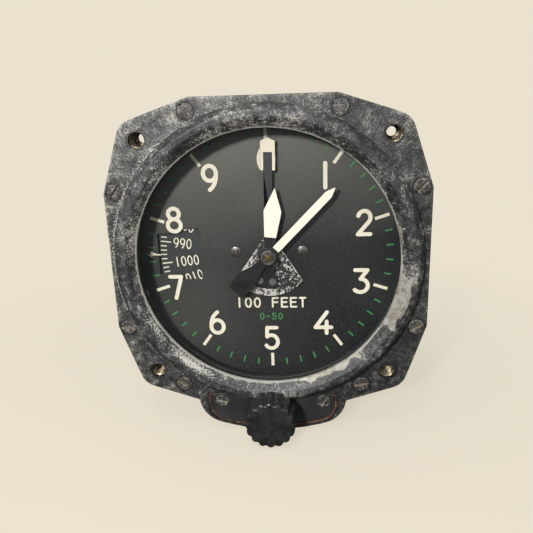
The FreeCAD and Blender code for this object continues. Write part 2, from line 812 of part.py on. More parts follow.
def slotted(label, screws, face, rise, slots):
    """Screws of one node with their driver slots cut across the heads."""
    bars = []
    for x, z, degrees in slots:
        bar = doc.addObject("Part::Box", f"{label}_slot")
        bind(bar, "Width", "slot_depth")
        bind(bar, "Height", "slot_width")
        reach = 2.2 * size("screw_head")
        bar.Length = reach
        top = size(face) - size(rise)
        turn = Rotation(Vector(0, 1, 0), -degrees)
        offset = turn.multVec(Vector(-reach / 2, 0, -size("slot_width") / 2))
        bar.Placement = FreeCAD.Placement(Vector(size(x), top, size(z)) + offset, turn)
        bars.append(bar)
    cutter = doc.addObject("Part::Compound", f"{label}_slots")
    cutter.Links = bars
    group = doc.addObject("Part::Compound", f"{label}_group")
    group.Links = screws
    return bored(label, group, cutter)


def make_flange_screws():
    """Eight slotted screws that draw the flange to the case."""
    turns = [-20, 45, 15, 70, 40, -58, 5, 30]
    screws, slots = [], []
    for number, ((x, z), turn) in enumerate(zip(screw_points(), turns)):
        head = rod(f"flange_head{number}", "screw_head", "screw_head_thick", (x, "zero", z))
        shank = rod(f"flange_shank{number}", "screw_shank", "screw_length", (x, "zero", z))
        screws.append(joined(f"flange_screw{number}", [head, shank]))
        slots.append((x, z, turn))
    return slotted("flange_screws", screws, "zero", "zero", slots)


def make_inserts():
    """Four brass bushes behind the panel holes."""
    bores = [(x, z, "insert_radius") for x, z in hole_points()]
    bores += [(x, z, "panel_hole") for x, z in hole_points()]
    body = new_body("panel_inserts", ("zero", "panel_skin", "zero"))
    feature = pad(body, front_sketch(body, circles=bores), "flange_thick")
    feature.setExpression("Length", "Sizes.flange_thick - Sizes.panel_skin")
    return body


def make_seal():
    """Gasket between the flange and the case rim."""
    outline = square_outline("rim_half", "rim_flat", "rim_corner")
    circles = [("zero", "zero", "barrel_bore")]
    circles += [(x, z, "screw_shank") for x, z in screw_points()]
    circles += [(x, z, "rim_hole") for x, z in hole_points()]
    body = flat_piece("case_seal", "flange_thick", "seal_thick", [outline], circles)
    fillet_upright_edges(body, corner_points("rim_corner"), "rim_corner_radius")
    notch = [("zero", "-spindle_z", "seal_bush_hole")]
    pocket(body, front_sketch(body, circles=notch), "seal_thick")
    return body


def make_case():
    """Case casting: rim, barrel, lobe housing, lugs and the rear port boss."""
    body = new_body("case_body")
    rim = square_outline("rim_half", "rim_flat", "rim_corner")
    pad(body, front_sketch(body, [rim], depth="rim_front"), "rim_thick")
    fillet_upright_edges(body, corner_points("rim_corner"), "rim_corner_radius")
    barrel = front_sketch(body, circles=[("zero", "zero", "barrel_radius")], depth="rim_front")
    pad(body, barrel, "barrel_length")
    house = slot_outline("lobe_house_radius", "lobe_top", "lobe_house_low")
    pad(body, front_sketch(body, [house], depth="rim_front"), "lobe_house_length")
    boss = [("zero", "-port_z", "port_boss_radius")]
    pad(body, front_sketch(body, circles=boss, depth="barrel_back"), "port_boss_length")
    bore = [("zero", "zero", "barrel_bore")]
    pocket(body, front_sketch(body, circles=bore, depth="rim_front"), "cavity_depth")
    lugs = [(x, z, "lug_radius") for x, z in plate_screw_points()]
    pad(body, front_sketch(body, circles=lugs, depth="plate_back"), "lug_length")
    taps = [(x, z, "plate_screw_shank") for x, z in plate_screw_points()]
    pocket(body, front_sketch(body, circles=taps, depth="plate_back"), "lug_length")
    taps = [(x, z, "screw_shank") for x, z in screw_points()]
    taps += [(x, z, "rim_hole") for x, z in hole_points()]
    pocket(body, front_sketch(body, circles=taps, depth="rim_front"), "rim_thick")
    hole = [("zero", "-spindle_z", "bush_radius")]
    pocket(body, front_sketch(body, circles=hole, depth="rim_front"), "rim_front")
    cave = slot_outline("lobe_pocket_radius", "lobe_pocket_top", "lobe_pocket_low")
    pocket(body, front_sketch(body, [cave], depth="lobe_pocket_front"), "lobe_pocket_depth")
    hole = [("zero", "-spindle_z", "spindle_pivot_bore")]
    pivot = front_sketch(body, circles=hole, depth="lobe_pocket_back")
    pocket(body, pivot, "spindle_pivot_depth")
    port = [("zero", "-port_z", "port_drill")]
    pocket(body, front_sketch(body, circles=port, depth="cavity_back"), "port_depth")
    chamfer_round(body, "barrel_radius", "barrel_back", "back_chamfer")
    return body


def slot_outline(radius, top, low):
    """A slot with its round end on the setting spindle's axis."""
    return [
        (radius, f"-{top}"),
        (f"-{radius}", f"-{top}"),
        (f"-{radius}", "-spindle_z", radius, 1),
        ("zero", f"-{low}", radius, 1),
        (radius, "-spindle_z"),
    ]


def make_nipple():
    """Static pressure nipple at the back."""
    corners = [
        ("nipple_bore", "nipple_front"),
        ("nipple_root", "nipple_front"),
        ("nipple_root", "zero"),
        ("nipple_collar", "zero"),
        ("nipple_collar", "nipple_collar_length"),
        ("nipple_tube", "nipple_collar_length"),
        ("nipple_tube", "nipple_end"),
        ("nipple_bore", "nipple_end"),
    ]
    return turned_piece("static_nipple", corners, ("zero", "port_boss_back", "-port_z"))


def make_bezel():
    """Bezel ring with its lip, glass seat and spigot, and what it holds."""
    ring = [
        ("lip_radius", "-lip_front"),
        ("face_inner", "-face_front"),
        ("face_outer", "-face_front", "shoulder_radius", 1),
        ("bezel_radius", "-shoulder_front"),
        ("bezel_radius", "zero"),
        ("spigot_radius", "zero"),
        ("spigot_radius", "spigot_depth"),
        ("glass_seat", "spigot_depth"),
        ("glass_seat", "glass_front"),
        ("lip_radius", "glass_front"),
    ]
    turned_piece("bezel_ring", ring)
    centre = ("zero", "zero")
    flat_piece("window_glass", "glass_front", "glass_thick", circles=[(*centre, "glass_radius")])
    flat_piece("glass_gasket", "gasket_front", "gasket_thick",
               circles=[(*centre, "glass_radius"), (*centre, "gasket_inner")])
    flat_piece("glass_retaining_ring", "retainer_front", "retainer_thick",
               circles=[(*centre, "glass_seat"), (*centre, "retainer_inner")])


def window_outline():
    """The pressure window, stepped so that it clears the numerals beside it."""
    return [
        ("-window_outer", "window_top_outer"),
        ("-window_outer", "-window_low_outer"),
        ("-window_step", "-window_low_outer"),
        ("-window_step", "-window_low_inner"),
        ("-window_inner", "-window_low_inner"),
        ("-window_inner", "window_top_inner"),
        ("-window_step", "window_top_inner"),
        ("-window_step", "window_top_outer"),
    ]


def make_dial():
    """Dial, its two screws and the keeper that holds the pressure scale."""
    screws = [("dial_screw_x", "dial_screw_z"), ("-dial_screw_x", "dial_screw_z")]
    holes = [(x, z, "dial_screw_shank") for x, z in screws]
    centre = ("zero", "zero")
    flat_piece("dial", "dial_front", "dial_thick", [window_outline()],
               [(*centre, "dial_radius"), (*centre, "dial_hole")] + holes)
    flat_piece("scale_keeper", "dial_back", "keeper_thick",
               circles=[(*centre, "keeper_radius"), (*centre, "dial_hole")] + holes)
    made, slots = [], []
    for number, (x, z) in enumerate(screws):
        at = (x, "dial_screw_front", z)
        cap = rod(f"dial_cap{number}", "dial_screw_head", "dial_screw_cap", at)
        shank = rod(f"dial_shank{number}", "dial_screw_shank", "dial_screw_length", at)
        made.append(joined(f"dial_screw{number}", [cap, shank]))
        slots.append((x, z, 20 + 50 * number))
    return slotted("dial_screws", made, "dial_front", "dial_screw_cap", slots)


def make_front_plate():
    """Front plate: bearings of the hand gearing and the scale's boss."""
    body = new_body("front_plate")
    screws = [(x, z, "plate_screw_shank") for x, z in plate_screw_points()]
    pillars = [(x, z, "pillar_spigot") for x, z in front_pillars()]
    outline = [("zero", "zero", "plate_radius")]
    pad(body, front_sketch(body, circles=outline, depth="plate_front"), "plate_thick")
    boss = front_sketch(body, circles=[("zero", "zero", "boss_radius")], depth="boss_front")
    pad(body, boss, "boss_length")
    through = front_sketch(body, circles=[("zero", "zero", "tens_bearing")], depth="boss_front")
    pocket(body, through, "plate_front")
    taps = [(a + "dial_screw_x", "dial_screw_z", "dial_screw_shank") for a in ("", "-")]
    pocket(body, front_sketch(body, circles=taps, depth="boss_front"), "dial_screw_length")
    bores = [(a + "hand_centres", "zero", "pivot_hole") for a in ("", "-")]
    bores += screws + pillars + [("zero", "-idler_z", "idler_stud_radius")]
    pocket(body, front_sketch(body, circles=bores, depth="plate_front"), "plate_thick")
    made = []
    for number, (x, z) in enumerate(plate_screw_points()):
        at = (x, "plate_screw_front", z)
        cap = rod(f"plate_cap{number}", "plate_screw_head", "plate_screw_cap", at)
        shank = rod(f"plate_shank{number}", "plate_screw_shank", "plate_screw_length", at)
        made.append(joined(f"plate_screw{number}", [cap, shank]))
    group = doc.addObject("Part::Compound", "movement_screws")
    group.Links = made
    return body


def front_pillars():
    """Centres of the three pillars between the front and centre plates."""
    low = [(a + "front_pillar_x", "-front_pillar_z") for a in ("", "-")]
    return [("zero", "front_pillar_reach")] + low


def rear_pillars():
    """Centres of the three pillars between the centre and rear plates."""
    sides = [(a + "rear_pillar_x", "rear_pillar_z") for a in ("", "-")]
    return sides + [("-top_pillar_x", "top_pillar_z")]


def bridge_posts():
    """Centres of the two posts under the train bridge."""
    return [("post_one_x", "post_one_z"), ("post_two_x", "post_two_z")]


def pillar_group(label, points, front, length, radius, spigot, cap):
    """Pillars with a spigot in the plate at each end."""
    made = []
    for number, (x, z) in enumerate(points):
        column = rod(f"{label}_column{number}", radius, length, (x, front, z))
        pin = rod(f"{label}_pin{number}", spigot, length, (x, front, z))
        pin.setExpression("Height", f"Sizes.{length} + Sizes.plate_thick + Sizes.{cap}")
        pin.setExpression("Placement.Base.y", f"Sizes.{front} - Sizes.plate_thick")
        made.append(joined(f"{label}_one{number}", [column, pin]))
    group = doc.addObject("Part::Compound", label)
    group.Links = made
    return group


def make_frame():
    """Centre and rear plates, train bridge, pillars and capsule bracket."""
    low = [(a + "hand_centres", "zero", "pivot_hole") for a in ("", "-")]
    train = [("first_x", "first_z", "pivot_hole"), ("second_x", "second_z", "pivot_hole")]
    shaft = [("shaft_x", "shaft_z", "shaft_pivot_hole")]
    posts = [(x, z, "post_spigot") for x, z in bridge_posts()]
    front = [(x, z, "pillar_spigot") for x, z in front_pillars()]
    rear = [(x, z, "pillar_spigot") for x, z in rear_pillars()]
    disc = [("zero", "zero", "movement_radius")]
    staff = [("zero", "zero", "thousands_bore")]
    flat_piece("centre_plate", "centre_plate_front", "plate_thick",
               circles=disc + staff + low + train + shaft + posts + front + rear)
    flat_piece("rear_plate", "rear_plate_front", "plate_thick", circles=disc + shaft + rear)
    pillar_group("front_pillars", front_pillars(), "plate_back", "front_pillar_length",
                 "pillar_radius", "pillar_spigot", "plate_thick")
    pillar_group("rear_pillars", rear_pillars(), "centre_plate_back", "rear_pillar_length",
                 "pillar_radius", "pillar_spigot", "plate_thick")
    pillar_group("bridge_posts", bridge_posts(), "centre_plate_back", "post_length",
                 "post_radius", "post_spigot", "bridge_thick")
    make_bridge()
    block = doc.addObject("Part::Box", "capsule_bracket")
    block.Label = "capsule_bracket"
    block.setExpression("Length", "2 * Sizes.bracket_half")
    bind(block, "Width", "rear_pillar_length")
    bind(block, "Height", "bracket_thick")
    block.setExpression("Placement.Base.x", "-Sizes.bracket_half")
    bind(block, "Placement.Base.y", "centre_plate_back")
    block.setExpression("Placement.Base.z", "Sizes.bracket_top - Sizes.bracket_thick")


def make_bridge():
    """Small plate that carries the rear pivots of the train."""
    margin = size("bridge_margin")
    round_corners = [
        (size("second_x"), size("second_z"), margin),
        (size("post_two_x"), size("post_two_z"), margin),
        (size("post_one_x"), size("post_one_z"), margin),
        (size("first_x"), size("first_z"), margin),
    ]
    blank = slab("bridge_blank", belt_wire(round_corners), "bridge_thick")
    place(blank, ("zero", "bridge_front", "zero"))
    holes = [("first_x", "first_z", "pivot_hole"), ("second_x", "second_z", "pivot_hole")]
    holes += [(x, z, "post_spigot") for x, z in bridge_posts()]
    drill = new_body("bridge_drill", ("zero", "bridge_front", "zero"))
    pad(drill, front_sketch(drill, circles=holes), "bridge_thick")
    return bored("train_bridge", blank, drill)


def span_rod(label, radius, front, back, at, more=""):
    """A rod from one sheet depth to another."""
    piece = rod(label, radius, front, (at[0], front, at[1]))
    piece.setExpression("Height", f"Sizes.{back} - Sizes.{front}{more}")
    return piece


def toothed(label, teeth, module, phase, front, thick, at, fine=False):
    """A toothed disc in its place."""
    wire = gear_wire(size(teeth), size(module), phase, fine)
    return place(slab(label, wire, thick), (at[0], front, at[1]))


def wheel(label, teeth, module, phase, front, at, bore):
    """A train wheel bored for the arbor that carries it."""
    blank = toothed(label, teeth, module, phase, front, "wheel_thick", at)
    hole = rod(f"{label}_bore", bore, "wheel_thick", (at[0], front, at[1]))
    return bored(label, blank, hole)


def arbor(label, at, front, back, front_plate, back_plate, pinion):
    """An arbor between two plates, with its pinion cut in one with it."""
    play = "end_play"
    stem = rod(f"{label}_stem", "arbor_radius", "wheel_thick", (at[0], front, at[1]))
    stem.setExpression("Placement.Base.y", f"Sizes.{front} + Sizes.{play}")
    stem.setExpression("Height", f"Sizes.{back} - Sizes.{front} - 2 * Sizes.{play}")
    pivot = rod(f"{label}_pivot", "pivot_radius", "wheel_thick", (at[0], front, at[1]))
    pivot.setExpression("Placement.Base.y", f"Sizes.{front} - Sizes.{front_plate} + Sizes.{play}")
    pivot.setExpression(
        "Height",
        f"Sizes.{back} - Sizes.{front} + Sizes.{front_plate} + Sizes.{back_plate} - 2 * Sizes.{play}",
    )
    return joined(label, [stem, pivot, pinion])


def make_hand_gearing(phases):
    """The two reduction arbors and the wheels on the hands' pipes."""
    right, left, centre = ("hand_centres", "zero"), ("-hand_centres", "zero"), ("zero", "zero")
    plates = ("plate_back", "centre_plate_front", "plate_thick", "plate_thick")
    leaf = toothed("first_leaf", "pinion_teeth", "coarse_module", phases["right"],
                   "layer_three", "pinion_thick", right)
    arbor("reduction_arbor_one", right, *plates, leaf)
    wheel("reduction_wheel_one", "wheel_teeth", "fine_module", phases["right_wheel"],
          "layer_four", right, "arbor_radius")
    leaf = toothed("second_leaf", "pinion_teeth", "coarse_module", phases["left"],
                   "layer_one", "pinion_thick", left)
    arbor("reduction_arbor_two", left, *plates, leaf)
    wheel("reduction_wheel_two", "wheel_teeth", "fine_module", phases["left_wheel"],
          "layer_two", left, "arbor_radius")
    wheel("thousands_wheel", "hand_wheel_teeth", "coarse_module", phases["thousands"],
          "layer_three", centre, "thousands_radius")
    wheel("tens_wheel", "hand_wheel_teeth", "coarse_module", phases["tens"],
          "layer_one", centre, "tens_radius")


def make_pipes():
    """Hand staff and the two pipes around it, each with the pinions cut on it."""
    centre = ("zero", "zero")
    stem = span_rod("staff_stem", "staff_radius", "staff_front", "staff_layer", centre, " + 1")
    stem.setExpression("Placement.Base.y", "Sizes.staff_front")
    front = toothed("staff_front_leaf", "pinion_teeth", "fine_module", 0, "layer_four",
                    "pinion_thick", centre)
    rear = toothed("staff_rear_leaf", "pinion_teeth", "fine_module", 0, "staff_layer",
                   "pinion_thick", centre)
    joined("hand_staff", [stem, front, rear])
    tube = span_rod("thousands_tube", "thousands_radius", "thousands_front", "layer_three",
                    centre, " + Sizes.wheel_thick")
    leaf = toothed("thousands_leaf", "pinion_teeth", "fine_module", 0, "layer_two",
                   "pinion_thick", centre)
    bore = span_rod("thousands_tube_bore", "thousands_bore", "thousands_front", "layer_three",
                    centre, " + Sizes.wheel_thick")
    bored("thousands_pipe", joined("thousands_solid", [tube, leaf]), bore)
    tube = span_rod("tens_tube", "tens_radius", "tens_front", "layer_one", centre,
                    " + Sizes.wheel_thick")
    bore = span_rod("tens_tube_bore", "tens_bore", "tens_front", "layer_one", centre,
                    " + Sizes.wheel_thick")
    bored("tens_pipe", tube, bore)


def make_train(phases):
    """The multiplying train between the rocking shaft and the staff."""
    first, second = ("first_x", "first_z"), ("second_x", "second_z")
    plates = ("centre_plate_back", "bridge_front", "plate_thick", "bridge_thick")
    leaf = toothed("second_train_leaf", "pinion_teeth", "fine_module", phases["second"],
                   "second_layer", "pinion_thick", second)
    arbor("train_arbor_two", second, *plates, leaf)
    wheel("train_wheel_two", "second_wheel_teeth", "fine_module", phases["second_wheel"],
          "staff_layer", second, "arbor_radius")
    leaf = toothed("first_train_leaf", "pinion_teeth", "sector_module", phases["first"],
                   "sector_layer", "pinion_thick", first)
    arbor("train_arbor_one", first, *plates, leaf)
    wheel("train_wheel_one", "first_wheel_teeth", "fine_module", phases["first_wheel"],
          "second_layer", first, "arbor_radius")


def sector_wire(phase, middle):
    """Toothed arc, rim and two arms of the sector, about the shaft's axis."""
    teeth, module = size("sector_circle_teeth"), size("sector_module")
    step = 360 / teeth
    half = size("sector_travel") / 2 + size("sector_margin_teeth") * step
    first = math.ceil((middle - half - phase) / step)
    last = math.floor((middle + half - phase) / step)
    points = []
    for i in range(first, last + 1):
        points += tooth_points(teeth, module, phase + i * step, False)
    low, high = phase + (first - 0.5) * step, phase + (last + 0.5) * step
    root = teeth * module / 2 - 1.25 * module
    inner = root - size("sector_rim")
    hub = size("sector_hub") - 0.8
    outer = [polar(root, low)] + points + [polar(root, high)]
    outer += [polar(hub, high), polar(hub, (low + high) / 2 + 180), polar(hub, low)]
    span = high - low
    window = [polar(inner, low + span * (0.1 + 0.1 * i)) for i in range(9)]
    window += [polar(size("sector_hub") * 1.8, high - span * 0.3)]
    window += [polar(size("sector_hub") * 1.8, low + span * 0.3)]
    return closed(outer), closed(window)


def make_rocking_shaft(phases):
    """Rocking shaft with its sector and the arm that the capsules push."""
    at = ("shaft_x", "shaft_z")
    stem = rod("shaft_stem", "shaft_radius", "wheel_thick", (at[0], "centre_plate_back", at[1]))
    stem.setExpression("Placement.Base.y", "Sizes.centre_plate_back + Sizes.end_play")
    stem.setExpression("Height", "Sizes.rear_pillar_length - 2 * Sizes.end_play")
    pivot = rod("shaft_pivots", "shaft_pivot", "wheel_thick", (at[0], "centre_plate_front", at[1]))
    pivot.setExpression("Placement.Base.y", "Sizes.centre_plate_front + Sizes.end_play")
    pivot.setExpression("Height", "Sizes.rear_pillar_length + 2 * (Sizes.plate_thick - Sizes.end_play)")
    joined("rocking_shaft", [stem, pivot])
    middle = size("sector_angle") - 180 + size("sector_rest")
    outer, window = sector_wire(phases["sector"], middle)
    blank = slab("sector_blank", outer, "wheel_thick")
    opening = slab("sector_window", window, "wheel_thick")
    hub = rod("sector_boss", "sector_hub", "sector_hub_length", ("zero", "zero", "zero"))
    bore = rod("sector_bore", "shaft_radius", "sector_hub_length", ("zero", "zero", "zero"))
    solid = joined("sector_solid", [bored("sector_rim_cut", blank, opening), hub])
    bored("sector_gear", solid, bore, (at[0], "sector_layer", at[1]))
    end = polar(size("arm_length"), size("sector_rest"))
    wire = belt_wire([(0, 0, size("arm_hub")), (end.x, end.z, size("arm_end"))])
    lever = slab("arm_lever", wire, "arm_thick")
    eye = rod("arm_bore", "shaft_radius", "arm_thick", ("zero", "zero", "zero"))
    pin = rod("arm_pin", "crank_pin", "crank_pin_length", ("zero", "arm_thick", "zero"))
    pin.Placement.Base = Vector(end.x, size("arm_thick"), end.z)
    for axis, value in (("x", "cos"), ("z", "sin")):
        pin.setExpression(f"Placement.Base.{axis}",
                          f"Sizes.arm_length * {value}(Sizes.sector_rest * 1 deg)")
    solid = joined("arm_solid", [lever, pin])
    bored("rocking_arm", solid, eye, (at[0], "arm_front", at[1]))


def make_capsules():
    """Two aneroid capsules on their foot, the boss on top and the link."""
    rest = math.radians(size("sector_rest"))
    half = math.radians(size("sector_travel") / 2)
    slope = size("arm_length") * math.sin(half) / half
    eye_z = size("shaft_z") + slope * rest
    neck, wide, rim = size("capsule_neck"), size("capsule_radius"), size("capsule_rim")
    gap, height = size("capsule_gap"), size("capsule_height")
    level = size("bracket_top")
    section = [(0, level), (neck, level)]
    level += size("capsule_foot")
    for _ in range(2):
        middle = level + height / 2
        section += [(neck, level), (wide, middle - rim / 2), (wide, middle + rim / 2)]
        section += [(neck, level + height)]
        level += height + gap
    section += [(neck, level), (0, level)]
    x, y = size("capsule_x"), size("capsule_y")
    corners = [Vector(x + r, y, z) for r, z in section]
    profile = Part.Face(closed(corners))
    stack = doc.addObject("Part::Feature", "capsule_stack")
    stack.Shape = profile.revolve(Vector(x, y, 0), Vector(0, 0, 1), 360)
    boss = doc.addObject("Part::Cylinder", "capsule_boss")
    bind(boss, "Radius", "link_boss_radius")
    bind(boss, "Height", "link_boss_height")
    boss.Placement.Base = Vector(x, y, level)
    foot = level + size("link_boss_height")
    width, eye = size("link_half"), size("link_eye")
    bar = [Vector(x - width, 0, foot), Vector(x + width, 0, foot)]
    bar += [Vector(x + width, 0, eye_z), Vector(x - width, 0, eye_z)]
    strip = slab("link_bar", closed(bar), "link_thick")
    reach = size("link_slot_reach")
    head_wire = belt_wire([(x - reach, eye_z, eye), (x, eye_z, eye)])
    head = slab("link_head", head_wire, "link_thick")
    slot_wire = belt_wire([(x - reach, eye_z, size("link_slot_half")),
                           (x, eye_z, size("link_slot_half"))])
    slot = slab("link_slot", slot_wire, "link_thick")
    bored("capsule_link", joined("link_solid", [strip, head]), slot, ("zero", "link_front", "zero"))


def make_scale(phases):
    """Pressure scale disc, its toothed ring, the idler and its stud."""
    centre = ("zero", "zero")
    flat_piece("scale_disc", "scale_front", "scale_thick",
               circles=[(*centre, "scale_radius"), (*centre, "scale_bore")])
    rim = toothed("ring_teeth_blank", "ring_teeth", "setting_module", phases["ring"],
                  "ring_front", "ring_thick", centre, True)
    hub = rod("ring_hub", "ring_hub_radius", "ring_hub_length", ("zero", "ring_front", "zero"))
    bore = rod("ring_bore", "scale_bore", "ring_hub_length", ("zero", "ring_front", "zero"))
    bored("scale_gear", joined("scale_gear_solid", [rim, hub]), bore)
    at = ("zero", "-idler_z")
    blank = toothed("idler_blank", "idler_teeth", "setting_module", phases["idler"],
                    "idler_front", "idler_thick", at, True)
    hole = rod("idler_hole", "idler_bore", "idler_thick", (at[0], "idler_front", at[1]))
    bored("setting_idler", blank, hole)
    head = rod("stud_head", "stud_head_radius", "stud_head_thick", (at[0], "stud_front", at[1]))
    shank = rod("stud_shank", "idler_stud_radius", "stud_rear", (at[0], "stud_front", at[1]))
    joined("idler_stud", [head, shank])


def make_setting(phases):
    """Bush, spindle with its pinion, collar and knob."""
    at = ("zero", "-spindle_z")
    sleeve = rod("bush_sleeve", "bush_radius", "bush_length", (at[0], "-bush_front", at[1]))
    hole = rod("bush_hole", "bush_bore", "bush_length", (at[0], "-bush_front", at[1]))
    bored("spindle_bush", sleeve, hole)
    stem = rod("spindle_stem", "spindle_radius", "spindle_length", (at[0], "spindle_front", at[1]))
    leaf = toothed("spindle_leaf", "spindle_teeth", "setting_module", phases["spindle"],
                   "pinion_front", "pinion_length", at, True)
    tail = rod("spindle_tail", "spindle_pivot", "pinion_length", (at[0], "pinion_front", at[1]))
    tail.setExpression("Height", "Sizes.lobe_pocket_front + Sizes.lobe_pocket_depth"
                       " + Sizes.spindle_pivot_depth - Sizes.end_play - Sizes.pinion_front")
    joined("setting_spindle", [stem, leaf, tail])
    body = new_body("spindle_collar", (at[0], "collar_front", at[1]))
    circles = [("zero", "zero", "collar_radius"), ("zero", "zero", "spindle_radius")]
    pad(body, front_sketch(body, circles=circles), "collar_thick")
    make_knob(at)


def make_knob(at):
    """Fluted knob with a chamfered face and a blind bore for the spindle."""
    body = new_body("setting_knob", (at[0], "knob_front", at[1]))
    pad(body, front_sketch(body, circles=[("zero", "zero", "knob_radius")]), "knob_length")
    chamfer_round(body, "knob_radius", "zero", "knob_chamfer")
    sketch = front_sketch(body, circles=[("zero", "flute_reach", "flute_radius")])
    flute = pocket(body, sketch, "knob_length")
    flutes = body.newObject("PartDesign::PolarPattern", "knob_flutes")
    flutes.Originals = [flute]
    flutes.Axis = (sketch, ["N_Axis"])
    flutes.Angle = 360
    bind(flutes, "Occurrences", "knob_flutes")
    body.Tip = flutes
    doc.recompute()
    hole = sketch_on(body, "XZ_Plane")
    hole.setExpression("AttachmentOffset.Base.z", "-(Sizes.knob_length - Sizes.knob_bore_depth)")
    draw_circle(hole, "zero", "zero", "spindle_radius")
    pocket(body, hole, "knob_bore_depth")
    return body


def make_hands():
    """The three hands, the ringed cap and the low-altitude flag."""
    long_hand = mirrored([
        ("zero", "hundreds_tip"),
        ("hundreds_half", "hundreds_taper"),
        ("hundreds_half", "zero"),
        ("hundreds_tail_half", "-hundreds_tail"),
    ])
    blank = flat_piece("hundreds_blank", "hundreds_front", "hand_thick", [long_hand])
    hub = rod("hundreds_boss", "hub_radius", "hand_thick", ("zero", "hundreds_front", "zero"))
    hole = rod("hundreds_eye", "staff_radius", "hand_thick", ("zero", "hundreds_front", "zero"))
    bored("hundreds_hand", joined("hundreds_solid", [blank, hub]), hole, turn="hundreds_angle")
    turned_piece("hundreds_cap", [
        ("staff_radius", "cap_front"),
        ("cap_groove_inner", "cap_front"),
        ("cap_groove_inner", "cap_face"),
        ("cap_groove_outer", "cap_face"),
        ("cap_groove_outer", "cap_front"),
        ("cap_radius", "cap_front"),
        ("cap_radius", "hundreds_front"),
        ("staff_radius", "hundreds_front"),
    ])
    short = mirrored([
        ("zero", "thousands_tip"),
        ("thousands_half", "thousands_wide"),
        ("thousands_base_half", "thousands_base"),
        ("thousands_neck_half", "thousands_base"),
        ("thousands_neck_half", "zero"),
        ("thousands_tail_half", "-thousands_tail"),
    ])
    blank = flat_piece("thousands_blank", "thousands_front", "hand_thick", [short])
    hub = rod("thousands_boss", "hub_radius", "hand_thick", ("zero", "thousands_front", "zero"))
    hole = rod("thousands_eye", "thousands_radius", "hand_thick",
               ("zero", "thousands_front", "zero"))
    bored("thousands_hand", joined("thousands_hand_solid", [blank, hub]), hole,
          turn="thousands_angle")
    long_strip = mirrored([
        ("zero", "fork_tip"),
        ("fork_half", "fork_shoulder"),
        ("fork_half", "fork_foot"),
        ("tens_half", "fork_foot"),
        ("tens_half", "zero"),
    ])
    blank = flat_piece("tens_blank", "tens_front", "hand_thick", [long_strip])
    hub = rod("tens_boss", "hub_radius", "hand_thick", ("zero", "tens_front", "zero"))
    hole = rod("tens_eye", "tens_radius", "hand_thick", ("zero", "tens_front", "zero"))
    bored("tens_hand", joined("tens_solid", [blank, hub]), hole, turn="tens_angle")
    reach, half = size("flag_radius"), size("flag_half_angle")
    arc = Part.Arc(polar(reach, -90 - half), polar(reach, -90), polar(reach, -90 + half))
    top = Vector(0, 0, size("flag_top"))
    sides = [Part.makeLine(top, polar(reach, -90 - half)), arc.toShape()]
    sides += [Part.makeLine(polar(reach, -90 + half), top)]
    fan = slab("flag_fan", Part.Wire(sides), "hand_thick")
    eye = rod("flag_eye", "tens_radius", "hand_thick", ("zero", "zero", "zero"))
    bored("low_altitude_flag", fan, eye, ("zero", "flag_front", "zero"), "tens_angle")


def gear_phases():
    """Where one tooth of each gear points at rest, so that each pair is in mesh."""
    leaf = size("pinion_teeth")
    phases = {"right": 0, "left": 0, "second": 0, "first": 0, "ring": 0}
    phases["right_wheel"] = mesh_phase(leaf, 0, 0, size("wheel_teeth"))
    phases["thousands"] = mesh_phase(leaf, 0, 180, size("hand_wheel_teeth"))
    phases["left_wheel"] = mesh_phase(leaf, 0, 180, size("wheel_teeth"))
    phases["tens"] = mesh_phase(leaf, 0, 0, size("hand_wheel_teeth"))
    phases["second_wheel"] = mesh_phase(leaf, 0, size("second_angle"), size("second_wheel_teeth"))
    phases["first_wheel"] = mesh_phase(leaf, 0, size("first_angle"), size("first_wheel_teeth"))
    phases["sector"] = mesh_phase(leaf, 0, size("sector_angle"), size("sector_circle_teeth"))
    phases["idler"] = mesh_phase(size("ring_teeth"), 0, -90, size("idler_teeth"))
    phases["spindle"] = mesh_phase(size("idler_teeth"), phases["idler"], -90,
                                   size("spindle_teeth"))
    return phases


NODES = [
    "case_body", "case_seal", "mounting_flange", "panel_inserts", "flange_screws",
    "bezel_ring", "window_glass", "glass_gasket", "glass_retaining_ring",
    "lobe_cover", "cover_seal", "cover_screws", "static_nipple",
    "dial", "dial_screws", "scale_keeper", "front_plate", "movement_screws",
    "centre_plate", "rear_plate", "front_pillars", "rear_pillars", "bridge_posts",
    "train_bridge", "capsule_bracket", "capsule_stack", "capsule_boss", "capsule_link",
    "rocking_shaft", "sector_gear", "rocking_arm",
    "train_arbor_one", "train_wheel_one", "train_arbor_two", "train_wheel_two",
    "hand_staff", "thousands_pipe", "thousands_wheel", "tens_pipe", "tens_wheel",
    "reduction_arbor_one", "reduction_wheel_one", "reduction_arbor_two", "reduction_wheel_two",
    "hundreds_hand", "hundreds_cap", "thousands_hand", "tens_hand", "low_altitude_flag",
    "scale_disc", "scale_gear", "setting_idler", "idler_stud",
    "spindle_bush", "setting_spindle", "spindle_collar", "setting_knob",
]


def check_and_export():
    """Refuse a failed feature or a bad solid, then write one file per piece."""
    doc.recompute()
    for thing in doc.Objects:
        if "Invalid" in thing.State or "Error" in thing.State:
            raise ValueError(f"{thing.Label}: {thing.State}")
    found = {thing.Label: thing for thing in doc.Objects}
    for node in NODES:
        shape = found[node].Shape
        if shape.isNull() or not shape.isValid() or not shape.Solids:
            raise ValueError(f"{node} has no sound solid")
        shape.exportStep(f"parts/{node}.step")
        print(node, len(shape.Solids), round(shape.Volume, 2))


fill_sheet()
phases = gear_phases()
make_flange()
make_cover()
make_flange_screws()
make_inserts()
make_seal()
make_case()
make_nipple()
make_bezel()
make_dial()
make_front_plate()
make_frame()
make_hand_gearing(phases)
make_pipes()
make_train(phases)
make_rocking_shaft(phases)
make_capsules()
make_scale(phases)
make_setting(phases)
make_hands()
check_and_export()
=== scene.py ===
import itertools
import logging
import math
from dataclasses import dataclass, field
from enum import Enum

